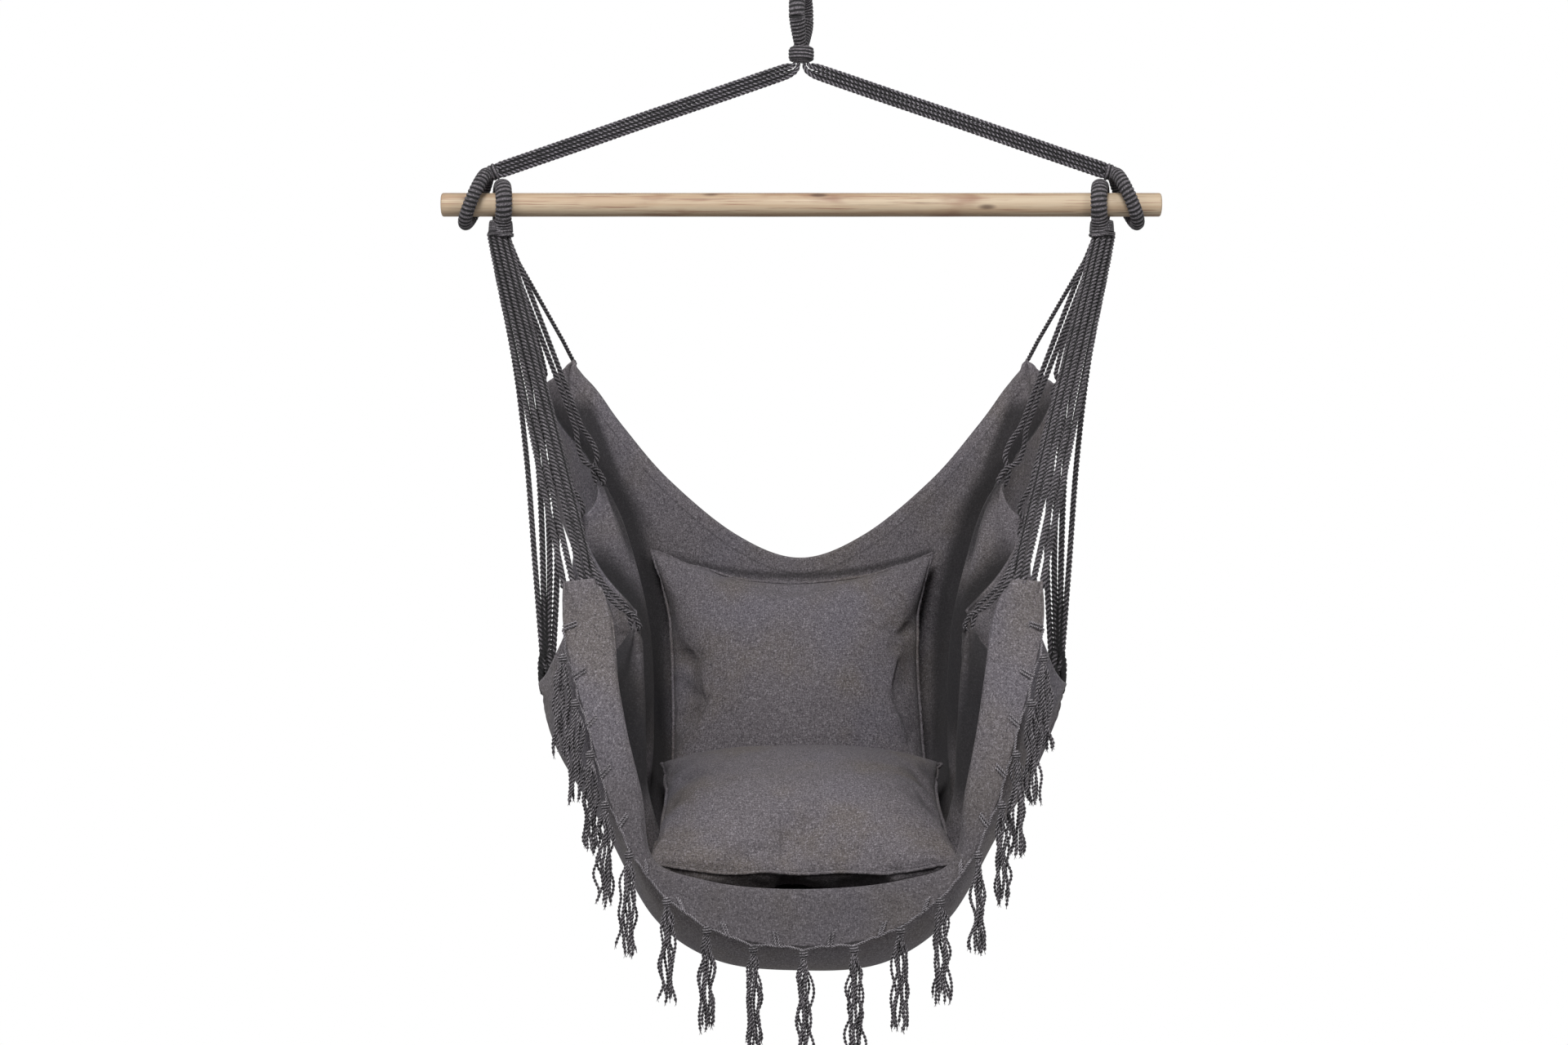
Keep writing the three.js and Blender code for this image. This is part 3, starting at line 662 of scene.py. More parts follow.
class Graph:
    """The node tree of a material or of the world."""

    def __init__(self, owner: Union[Material, bpy.types.World]) -> None:
        """Empties the tree.

        Args:
            owner: The material or world that the tree belongs to.
        """
        self.owner = owner
        owner.use_nodes = True
        self.tree = owner.node_tree
        self.tree.nodes.clear()

    def add(self, kind: str, settings: Optional[Mapping[str, object]] = None,
            inputs: Optional[Mapping[Union[int, str], Value]] = None,
            output: Union[int, str] = 0) -> Socket:
        """Adds a node.

        Args:
            kind: The node's type.
            settings: Its settings, which are set first.
            inputs: Values or links of its inputs, by name, identifier or place.
            output: The output wanted.

        Returns:
            That output.
        """
        node = self.tree.nodes.new(kind)
        for key, setting in (settings or {}).items():
            setattr(node, key, setting)
        for key, value in (inputs or {}).items():
            target = self._find(node.inputs, key)
            if isinstance(value, Socket):
                self.tree.links.new(value.link, target)
            else:
                target.default_value = value
        return Socket(self, self._find(node.outputs, output))

    @staticmethod
    def _find(sockets: Sequence[bpy.types.NodeSocket], key: Union[int, str]) -> bpy.types.NodeSocket:
        """Finds a socket.

        Args:
            sockets: The node's inputs or outputs.
            key: Its place, identifier or name.

        Returns:
            The socket.
        """
        if isinstance(key, int):
            return sockets[key]
        exact = [s for s in sockets if s.identifier == key]
        named = [s for s in sockets if s.name == key and s.enabled]
        return (exact or named)[0]

    def end(self, kind: str, shader: Socket) -> None:
        """Links a shader to a new output node of a type."""
        node = self.tree.nodes.new(kind)
        self.tree.links.new(shader.link, node.inputs["Surface"])

    def coordinates(self, kind: str, stretch: Sequence[float] = (1, 1, 1)) -> Socket:
        """Gives one kind of texture coordinates, scaled along each axis."""
        plain = self.add("ShaderNodeTexCoord", output=kind)
        return self.add("ShaderNodeMapping", {"vector_type": "POINT"},
                        {"Vector": plain, "Scale": tuple(stretch)})

    def attribute(self, name: str) -> Socket:
        """Gives the value of a mesh attribute."""
        return self.add("ShaderNodeAttribute", {"attribute_name": name}, output="Fac")

    def noise(self, vector: Socket, scale: float, detail: float = 2.0, rough: float = 0.5,
              pull: float = 0.0) -> Socket:
        """Adds a cloudy pattern, of about 0.5 on average."""
        return self.add("ShaderNodeTexNoise", {}, {
            "Vector": vector, "Scale": scale, "Detail": detail, "Roughness": rough, "Distortion": pull})

    def bands(self, vector: Socket, direction: str, scale: float, pull: float, detail: float) -> Socket:
        """Adds even bands along a direction, pulled about by a cloudy pattern."""
        return self.add("ShaderNodeTexWave", {"wave_type": "BANDS", "bands_direction": direction}, {
            "Vector": vector, "Scale": scale, "Distortion": pull, "Detail": detail})

    def span(self, value: Value, low: float, high: float, start: float = 0.0, end: float = 1.0) -> Socket:
        """Maps the range from low to high smoothly onto start to end."""
        return self.add("ShaderNodeMapRange", {"interpolation_type": "SMOOTHSTEP"}, {
            "Value": value, "From Min": low, "From Max": high, "To Min": start, "To Max": end})

    def mix(self, share: Value, first: Value, second: Value) -> Socket:
        """Mixes two colours, by the share of the second."""
        return self.add("ShaderNodeMix", {"data_type": "RGBA", "clamp_factor": True},
                        {"Factor_Float": share, "A_Color": first, "B_Color": second}, "Result_Color")

    def bump(self, height: Value, distance: float, strength: float) -> Socket:
        """Tilts the surface by a height pattern, whose unit is a distance in metres."""
        return self.add("ShaderNodeBump", {}, {"Height": height, "Distance": distance, "Strength": strength})

    def finish(self, colour: Value, roughness: Value, normal: Socket, **more: Value) -> Material:
        """Ends a material in a principled shader.

        Args:
            colour: Base colour.
            roughness: Roughness.
            normal: The tilted normal.
            **more: Further inputs, with underscores for spaces.

        Returns:
            The material.
        """
        inputs = {key.replace("_", " "): value for key, value in more.items()}
        inputs.update({"Base Color": colour, "Roughness": roughness, "Normal": normal})
        self.end("ShaderNodeOutputMaterial", self.add("ShaderNodeBsdfPrincipled", {}, inputs))
        return self.owner


@dataclass(frozen=True)
class CanvasFinish:
    """Heathered plain-weave cotton, with a stitched hem line and painted shade in its folds."""

    dark: str = "383438"
    middle: str = "5f5a5e"
    light: str = "8b868b"
    warm: str = "605a59"
    cool: str = "5d5960"
    shadow: str = "131114"
    threads: float = 950.0
    hem: float = 0.0
    shade: float = 0.9

    def make(self, name: str) -> Material:
        """Builds the material.

        Args:
            name: Its name.

        Returns:
            The material.
        """
        g = Graph(bpy.data.materials.new(name))
        cloth = g.coordinates("UV")
        solid = g.coordinates("Object")
        fine = g.noise(solid, scale=640.0, rough=0.75)
        slub = g.noise(g.coordinates("UV", (90, 900, 1)), scale=1.0, rough=0.6)
        slub_across = g.noise(g.coordinates("UV", (900, 90, 1)), scale=1.0, rough=0.6)
        warm_cloud = g.noise(solid, scale=9.0, detail=3.0, rough=0.55)
        cool_cloud = g.noise(solid, scale=5.0)
        tint = g.mix(g.span(warm_cloud, 0.42, 0.66), linear(self.middle), linear(self.warm))
        tint = g.mix(g.span(cool_cloud, 0.5, 0.68), tint, linear(self.cool))
        coarse = g.noise(solid, scale=400.0, rough=0.7)
        speck = fine * 0.35 + coarse * 0.35 + slub * 0.15 + slub_across * 0.15
        dark = g.mix(g.span(speck, 0.5, 0.41, end=0.9), tint, linear(self.dark))
        colour = g.mix(g.span(speck, 0.51, 0.61, end=0.9), dark, linear(self.light))
        # Painted shade in the folds and covered places, from each point's painted-shade value
        if self.shade:
            folded = g.span(g.attribute("painted_shade"), 0.06, 0.85, end=self.shade)
            colour = g.mix(folded, colour, linear(self.shadow))
        if self.hem:
            down = g.add("ShaderNodeSeparateXYZ", {}, {"Vector": cloth}, 1)
            seam = g.span(abs(down - self.hem), 0.0022, 0.0007, end=0.3)
            colour = g.mix(seam, colour, linear(self.shadow))
        warp, weft = (g.bands(cloth, way, self.threads / 3.14, pull=0.6, detail=1.0) for way in "XY")
        tilted = g.bump(warp * weft * 0.5 + speck, distance=0.0004, strength=0.6)
        return g.finish(colour, 0.93, tilted, Sheen_Weight=0.03, Sheen_Roughness=0.6)


@dataclass(frozen=True)
class RopeFinish:
    """Spun cotton yarn, with light flecks, ridges along its strands and painted shade in the hollows between
    them.
    """

    # The darkest colour serves the dark flecks and tint, and the painted shade in hollows
    dark: str = "0c0b0d"
    middle: str = "5b565b"
    light: str = "9a959a"
    # Strongest painted shade in the hollows
    hollow: float = 0.97
    ridges: float = 300.0

    def make(self, name: str) -> Material:
        """Builds the material.

        Args:
            name: Its name.

        Returns:
            The material.
        """
        g = Graph(bpy.data.materials.new(name))
        solid = g.coordinates("Object")
        fleck = g.noise(solid, scale=850.0, rough=0.7)
        cloud = g.noise(solid, scale=35.0, rough=0.6)
        tint = g.mix(g.span(cloud, 0.4, 0.75, end=0.6), linear(self.middle), linear(self.dark))
        dark = g.mix(g.span(fleck, 0.48, 0.34, end=0.8), tint, linear(self.dark))
        colour = g.mix(g.span(fleck, 0.52, 0.66), dark, linear(self.light))
        # Painted shade in the hollows and between neighbouring ropes
        hollow = g.span(g.attribute("painted_shade"), 0.02, 0.52, end=self.hollow)
        colour = g.mix(hollow, colour, linear(self.dark))
        yarn = g.bands(g.coordinates("UV", (1, 1, 0)), "DIAGONAL", self.ridges, pull=1.2, detail=1.5)
        tilted = g.bump(yarn * 0.5 + fleck * 0.8, distance=0.0005, strength=0.7)
        return g.finish(colour, 0.95, tilted, Sheen_Weight=0.04, Sheen_Roughness=0.7)


@dataclass(frozen=True)
class TimberFinish:
    """Pale softwood with its grain along X."""

    pale: str = "b3a189"
    grain: str = "a68e74"
    streak: str = "83604d"
    knot: str = "4d372c"

    def make(self, name: str) -> Material:
        """Builds the material.

        Args:
            name: Its name.

        Returns:
            The material.
        """
        g = Graph(bpy.data.materials.new(name))
        broad, fine, patch, line = (
            g.noise(g.coordinates("Object", (along, across, across)), 1.0, detail, rough, pull)
            for along, across, detail, rough, pull in (
                (2.2, 60, 4.0, 0.6, 0.4), (9, 420, 3.0, 0.65, 0.0), (7, 20, 3.0, 0.6, 0.0),
                (3.5, 300, 5.0, 0.7, 0.6)))
        pinhole = g.add("ShaderNodeTexVoronoi", {"feature": "F1"},
                        {"Vector": g.coordinates("Object", (9, 26, 26)), "Scale": 1.0}, "Distance")
        colour = g.mix(g.span(broad, 0.42, 0.62), linear(self.pale), linear(self.grain))
        colour = g.mix(g.span(patch, 0.5, 0.7, end=0.85), colour, linear(self.streak))
        colour = g.mix(g.span(fine, 0.54, 0.68, end=0.75), colour, linear(self.streak))
        colour = g.mix(g.span(line, 0.6, 0.68, end=0.8), colour, linear(self.knot))
        colour = g.mix(g.span(pinhole, 0.16, 0.05, end=0.8), colour, linear(self.knot))
        roughness = g.span(fine, 0.3, 0.7, start=0.55, end=0.68)
        return g.finish(colour, roughness, g.bump(fine, distance=0.0003, strength=0.4))


def made_once(finish: Union[CanvasFinish, RopeFinish, TimberFinish], name: str) -> Material:
    """Gives a dataclass field that holds a finish's material, built with the dataclass."""
    return field(default_factory=lambda: finish.make(name))


@dataclass
class Finishes:
    """The materials in use, each made once."""

    timber: Material = made_once(TimberFinish(), "pale_timber")
    rope: Material = made_once(RopeFinish(), "grey_rope")
    yarn: Material = made_once(
        RopeFinish(dark="141215", middle="777277", light="b4afb4", hollow=0.93), "grey_yarn")
    hanger: Material = made_once(RopeFinish(middle="67626a", light="a6a1a6"), "grey_hanger_rope")
    lace: Material = made_once(
        RopeFinish(dark="29262a", middle="8b868b", light="b8b3b8", hollow=0.6), "grey_lace")
    # The canvas carries painted shade on the cloth's inner face; its outside copy has none
    canvas: Material = made_once(CanvasFinish(hem=0.024), "grey_canvas")
    outside: Material = made_once(CanvasFinish(hem=0.024, shade=0.0), "grey_canvas_outside")
    cover: Material = made_once(CanvasFinish(middle="5d585c", warm="5e5754"), "cushion_canvas")


class Body(Enum):
    """The moving bodies that pieces ride on."""

    HANGING_EYE = "hanging_eye"
    WHIPPING = "whipping"
    HANGER = "hanger"
    SLING = "sling"
    SEAT = "seat_cushion"
    BACK = "back_cushion"


@dataclass
class SubAssembly:
    """One part of the chair, with the finishes that dress it."""

    finishes: Finishes

    @staticmethod
    def dress(made: Object, body: Body, material: Material, slot: str, *nodes: str) -> None:
        """Gives an object its material and body, and puts it in the place of nodes.

        Args:
            made: The object.
            body: The body it rides on.
            material: Its material.
            slot: Not used.
            *nodes: The nodes that it replaces.
        """
        made.data.materials.clear()
        made.data.materials.append(material)
        if nodes:
            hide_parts(*nodes)
        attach(made, body.value)
        log.info("%s: %d faces", made.name, len(made.data.polygons))


# Bar, eyes and hanger

@dataclass
class SpreaderBar(SubAssembly):
    """The round bar, with softened ends."""

    length: float = BAR_LENGTH
    radius: float = BAR_RADIUS
    rounding: float = 3.0
    sides: int = 64
    rings: int = 160
    uneven: float = 0.12

    def build(self) -> None:
        """Makes the bar (a profile turned round the X axis, uneven by a tenth of a millimetre)."""
        half = self.length / 2
        bend = np.linspace(0, QUARTER, 7)
        x_end = -half + self.rounding * (1 - np.sin(bend))
        r_end = self.radius - self.rounding * (1 - np.cos(bend))
        middle = np.linspace(-half + self.rounding, half - self.rounding, self.rings)
        x = np.concatenate([x_end[::-1], middle[1:-1], -x_end])
        radius = np.concatenate([r_end[::-1], np.full(self.rings - 2, self.radius), r_end])
        angle = TURN * np.arange(self.sides) / self.sides
        bumps = waves(x[:, None] / 100, angle[None, :] / 2, seed=5, count=6, low=0.2, high=1.0)
        radial = radius[:, None] - 0.1 + self.uneven * bumps
        points = np.stack([np.broadcast_to(x[:, None], radial.shape), radial * np.cos(angle),
                           radial * np.sin(angle) - BAR_DROP], axis=-1)
        made = mesh_object("spreader_bar_wood", [Patch(points)])
        self.dress(made, Body.HANGER, self.finishes.timber, "timber", "spreader_bar")


@dataclass(frozen=True)
class Oval:
    """The oval that an eye's limb follows, with its angle from the neck."""

    centre: Array
    half_width: float
    half_height: float
    side: Array
    down: Array

    def at(self, angle: Array) -> Array:
        """Gives the oval's points at angles from the neck's side."""
        turn = np.atleast_1d(angle)[:, None]
        return (self.centre + self.side * self.half_width * np.sin(turn)
                + self.down * self.half_height * np.cos(turn))

    def loop(self, feet: Pairs, opening: float, count: int, step: float = 0.8) -> Array:
        """Gives a limb's path: up from its feet, round the oval and down to its other feet.

        Args:
            feet: Pairs of a foot's distance aside and its height, from the top down.
            opening: Angle from the neck at which the limb leaves the oval.
            count: Number of points on the oval.
            step: Distance wanted between two points.

        Returns:
            Evenly spaced points.
        """
        arc = self.at(np.linspace(opening, TURN - opening, count))
        stand = self.centre * vec(1, 1, 0)
        first, last = ([stand + self.side * sign * reach + vec(0, 0, z) for reach, z in feet]
                       for sign in (1, -1))
        return curve([*first[::-1], *arc[::3], arc[-1], *last], step)

    @property
    def normal(self) -> Array:
        """Gives the direction square to the oval's plane."""
        return unit(np.cross(self.side, self.down))


@dataclass
class HangingEye(SubAssembly):
    """The served loop at the top, its neck, and the whipping round the neck."""

    limb: Serving = Serving(base=8.9, bead=2.3, pitch=5.1)
    opening: float = math.radians(74)
    feet: Pairs = ((17.0, -51.0), (7.2, -64.0), (5.6, -76.0))
    swell: Pairs = ((0, 0.72), (0.08, 0.8), (0.2, 1), (0.5, 1.02), (0.8, 1), (0.92, 0.8), (1, 0.72))
    neck_radius: float = 11.6
    neck_top: float = -64.0
    whipping: Sleeve = Sleeve(-65.6, -85.2, ((0, 16.6), (0.25, 17.9), (0.7, 17.9), (1, 17.0)),
                              bead=2.2, pitch=4.7, hole=12.1)

    def build(self) -> None:
        """Makes the eye and the whipping."""
        lowest = HANGING_OPENING + HANGING_CORE
        oval = Oval(vec(0, 0, (HANGING_LIMB - lowest) / 2), HANGING_WIDTH / 2 + HANGING_LIMB,
                    (HANGING_LIMB + lowest) / 2,
                    vec(math.sin(EYE_TURN), math.cos(EYE_TURN), 0), vec(0, 0, -1))
        path = oval.loop(self.feet, self.opening, 40)
        heights = np.linspace(self.neck_top, -HANGING_NECK_BOTTOM, 12)
        neck_path = np.stack([vec(0, 0, z) for z in heights])
        neck = sweep(neck_path, np.full((len(heights), 24), self.neck_radius), vec(0, 1, 0))
        eye = mesh_object("hanging_eye_wrapped", [
            self.limb.along(path, oval.normal, scale=self.swell), neck])
        self.dress(eye, Body.HANGING_EYE, self.finishes.rope, "rope",
                   "hanging_eye_core", "hanging_eye_serving")
        band = mesh_object("hanging_whipping_cord", [self.whipping.at(0.0)])
        self.dress(band, Body.WHIPPING, self.finishes.rope, "rope", "hanging_whipping")


@dataclass
class InnerEye(SubAssembly):
    """A served loop over the bar, its neck and the collar that binds the sling's ropes."""

    side: int
    label: str
    limb: Serving = Serving(base=7.1, bead=2.5, pitch=5.6)
    opening: float = math.radians(40)
    foot_drops: Pairs = ((12.5, 10.5), (9.5, 17.0), (7.5, 28.0))
    inboard: float = 1.9
    widen: float = 1.22
    neck_lead: float = 8.0
    shroud: Serving = Serving(base=10.6, bead=1.6, pitch=4.9, sides=32)
    shroud_swell: Pairs = ((0, 0.55), (0.2, 0.95), (1, 1))
    collar: Sleeve = Sleeve(COLLAR_FOOT + 30.0, COLLAR_FOOT + 13.3,
                            ((0, 15.8), (0.3, 16.6), (1, 17.4)), bead=0.6, pitch=2.3)
    collar_edge: Sleeve = Sleeve(COLLAR_FOOT + 13.2, COLLAR_FOOT + 7.2,
                                 ((0, 18.3), (1, 18.3)), bead=1.6, pitch=3.0)

    def build(self) -> None:
        """Makes the loop and the collar."""
        x = self.side * INNER_REACH
        radius = BAR_RADIUS + SEAT_GAP + BAR_LIMB
        oval = Oval(vec(x, 0, -BAR_DROP), radius / math.cos(EYE_TURN), radius,
                    vec(self.side * math.sin(EYE_TURN), math.cos(EYE_TURN), 0), vec(0, 0, -1))
        low = -BAR_DROP - BAR_RADIUS
        feet = tuple((reach, low - drop) for reach, drop in self.foot_drops)
        path = oval.loop(feet, self.opening, 44) + vec(-self.inboard * self.side, 0, 0)
        heights = np.linspace(low - self.neck_lead, COLLAR_FOOT, 14)
        neck_path = np.stack([vec(x, 0, z) for z in heights])
        eye = mesh_object(f"inner_eye_wrapped_{self.label}", [
            self.limb.along(path, oval.normal, widen=self.widen),
            self.shroud.along(neck_path, vec(0, 1, 0), scale=self.shroud_swell)])
        self.dress(eye, Body.SLING, self.finishes.rope, "rope", f"inner_eye_core_{self.label}",
                   f"inner_eye_serving_{self.label}")
        collar = mesh_object(f"inner_collar_{self.label}", [self.collar.at(x), self.collar_edge.at(x)])
        self.dress(collar, Body.SLING, self.finishes.rope, "rope", f"inner_whipping_{self.label}")


@dataclass
class HangerLeg(SubAssembly):
    """One leg of the hanger: four ropes from the whipping, and the served eye that holds the bar.

    The ropes leave the whipping as a square bundle, open into a flat row over a share of the leg
    (spread), and close again over the last share (close).
    """

    side: int
    label: str
    lay: Lay = Lay(radius=3.5)
    limb: Serving = Serving(base=7.1, bead=2.5, pitch=5.6)
    neck: Serving = Serving(base=8.4, bead=2.4, pitch=5.6)
    neck_swell: Pairs = ((0, 0.9), (0.5, 1.05), (0.85, 1.14), (1, 1.0))
    spread: float = 0.07
    close: float = 0.02
    row_height: float = 0.8
    into_neck: float = 5.0
    slack: float = 0.3
    slack_points: float = 11.0
    phase_step: float = 1.3
    bend_points: int = 9
    run_points: int = 90
    ring_points: int = 120
    outer_top: Array = field(init=False)
    leg_way: Array = field(init=False)
    leg_up: Array = field(init=False)
    leg_start: Array = field(init=False)
    leg_length: float = field(init=False)
    bend: float = field(init=False)
    bend_centre: Array = field(init=False)
    oval: Oval = field(init=False)

    def __post_init__(self) -> None:
        """Works out the leg's line, from the bend below the whipping to the eye's top."""
        radius = BAR_RADIUS + SEAT_GAP + BAR_LIMB
        half_height = (BAR_RADIUS + SEAT_GAP) / math.cos(OUTER_LEAN) + BAR_LIMB + OUTER_RISE / 2
        top_way = vec(-math.sin(OUTER_LEAN), 0, math.cos(OUTER_LEAN))
        centre = vec(OUTER_REACH, 0, -BAR_DROP) + top_way * OUTER_RISE / 2
        self.outer_top = centre + top_way * half_height
        lowest = HANGING_NECK_BOTTOM + SWING_GAP
        self.bend_centre = vec(2 * PAIR_HALF + BEND_RADIUS, 0, -(lowest + BEND_LEAD))
        reach = self.outer_top - self.bend_centre
        drop = math.atan2(-reach[2], reach[0]) - math.asin(BEND_RADIUS / np.linalg.norm(reach))
        self.bend = QUARTER - drop
        self.leg_way = vec(math.cos(drop), 0, -math.sin(drop))
        self.leg_up = vec(math.sin(drop), 0, math.cos(drop))
        self.leg_start = self.bend_centre - self.leg_up * BEND_RADIUS
        self.leg_length = float((self.outer_top - self.leg_start) @ self.leg_way) - OUTER_NECK - SEAT_GAP
        mirror = vec(self.side, 1, 1)
        self.oval = Oval(centre * mirror, radius + OUTER_SPREAD, half_height, vec(0, -1, 0), top_way * mirror)

    def rope(self, pair: int, row: int) -> Array:
        """Gives one rope's centre line (round the bend, then straight, with its place in the bundle
        turned from square to flat by the sine and cosine of an eased quarter turn).

        Args:
            pair: 1 for the upper two, -1 for the lower two.
            row: 1 or -1 within the pair.

        Returns:
            Points on the line.
        """
        angle = np.linspace(0, self.bend, self.bend_points)
        up = np.stack([np.cos(angle), 0 * angle, np.sin(angle)], axis=1)
        arc = self.bend_centre - up * BEND_RADIUS
        share = np.linspace(0, 1, self.run_points)[1:]
        run = self.leg_start + self.leg_way * ((self.leg_length + self.into_neck) * share)[:, None]
        head = vec(2 * PAIR_HALF, 0, -HANGING_NECK_BOTTOM - SWING_GAP)[None]
        centre = np.concatenate([head, arc, run])
        ups = np.concatenate([vec(1, 0, 0)[None], up, np.broadcast_to(self.leg_up, run.shape)])
        opened = np.minimum(0.5 + share / self.spread, (1 - share) / self.close)
        turn = ease(np.concatenate([np.linspace(0, 0.5, len(arc) + 1), opened])) * QUARTER
        flat, square = np.sin(turn), np.cos(turn)
        height = pair * (PAIR_HALF + (STACK_HALF - PAIR_HALF) * flat) + row * PAIR_HALF * flat
        loose = self.slack * np.concatenate([np.zeros(len(arc) + 1), np.sin(math.pi * share) ** 2])
        wander = loose * np.sin(np.arange(len(centre)) / self.slack_points + pair + 2 * row)
        line = centre + ups * (height * self.row_height + wander)[:, None]
        line = line + vec(0, 1, 0) * (row * PAIR_HALF * square)[:, None]
        return line * vec(self.side, 1, 1)

    def build(self) -> None:
        """Makes the four ropes and the eye."""
        lines = [(self.rope(pair, row), self.lay.radius) for pair in (1, -1) for row in (1, -1)]
        for number, (line, _) in enumerate(lines, start=1):
            patch = self.lay.along(line, vec(0, 1, 0), phase=self.phase_step * number)
            paint_shade_beside(patch, lines[:number - 1] + lines[number:], axis=0)
            rope = mesh_object(f"hanger_strand_{self.label}_{number}", [patch])
            self.dress(rope, Body.HANGER, self.finishes.hanger, "rope",
                       f"hanger_rope_{self.label}_{number}")
        ring = self.oval.at(np.linspace(0, TURN, self.ring_points, endpoint=False))
        loop = self.limb.along(ring, self.oval.normal, closed=True)
        mirror = vec(self.side, 1, 1)
        end = (self.outer_top - self.leg_way * OUTER_NECK) * mirror
        neck_line = np.linspace(self.outer_top * mirror, end, 24)
        neck = self.neck.along(neck_line, vec(0, 1, 0), scale=self.neck_swell)
        eye = mesh_object(f"outer_eye_wrapped_{self.label}", [loop, neck])
        self.dress(eye, Body.HANGER, self.finishes.rope, "rope", f"outer_eye_core_{self.label}",
                   f"outer_eye_serving_{self.label}")


# Sling and its ropes

@dataclass
class SlingSurface:
    """The smooth surface through the sling's net."""

    edge_share: float = 0.985
    inner_share: float = 0.97
    flap_step: float = 0.25 / NET_SPANS
    net: Array = field(init=False)

    def __post_init__(self) -> None:
        """Sets out the net's points across both sides."""
        share = np.array(SLING_NET)
        half = share * vec(SLING_HALF_WIDTH, SLING_DEPTH, -SLING_DROP) - vec(0, SLING_FORWARD, BAR_DROP)
        self.net = np.concatenate([half[:, :0:-1] * vec(-1, 1, 1), half], axis=1)

    def at(self, u: Array, v: Array) -> Array:
        """Gives points of the surface.

        Args:
            u: Across, from -1 (left edge) to 1.
            v: Along, from 0 (hem) to 1 (laced edge).

        Returns:
            The points.
        """
        rows, columns = self.net.shape[:2]
        across, along = np.broadcast_arrays(np.asarray(u, float), np.asarray(v, float))
        wu = cubic_weights((across.ravel() + 1) / 2 * (columns - 1), columns)
        wv = cubic_weights(along.ravel() * (rows - 1), rows)
        points = np.einsum("nr,nc,rcx->nx", wv, wu, self.net, optimize=True)
        return points.reshape(across.shape + (3,))

    def normal(self, u: Array, v: Array, step: float = 0.004) -> Array:
        """Gives the surface's normal, on the sitter's side.

        Args:
            u: Across.
            v: Along.
            step: Distance between the samples that it is taken from.

        Returns:
            Directions of length one.
        """
        across, along = np.broadcast_arrays(np.asarray(u, float), np.asarray(v, float))
        du = self.at(np.minimum(across + step, 1), along) - self.at(np.maximum(across - step, -1), along)
        dv = self.at(across, np.minimum(along + step, 1)) - self.at(across, np.maximum(along - step, 0))
        return unit(np.cross(du, dv))

    def beside_edge(self, side: int, row: float) -> tuple[Array, Array, Array]:
        """Describes the side edge at a row of the net, where a rope is made fast.

        Args:
            side: -1 for the left edge, 1 for the right.
            row: The net's row.

        Returns:
            The point, the direction into the cloth, and the normal.
        """
        v = row / NET_SPANS
        edge = self.at(side, v)
        inward = unit(self.at(side * self.inner_share, v) - edge)
        return edge, inward, self.normal(side * self.edge_share, v)

    def beside_flap(self, u: Array, inset: Array, proud: Array) -> Array:
        """Gives points beside the flap's laced edge.

        Args:
            u: Across.
            inset: Distance inwards from the edge.
            proud: Distance in front of the cloth.

        Returns:
            The points.
        """
        u = np.asarray(u, float)
        edge = self.at(u, np.ones_like(u))
        inward = unit(self.at(u, np.full_like(u, 1 - self.flap_step)) - edge)
        normal = self.normal(u, np.ones_like(u))
        normal = normal * -np.sign(normal[..., 1:2])
        return edge + inward * np.asarray(inset)[..., None] + normal * np.asarray(proud)[..., None]


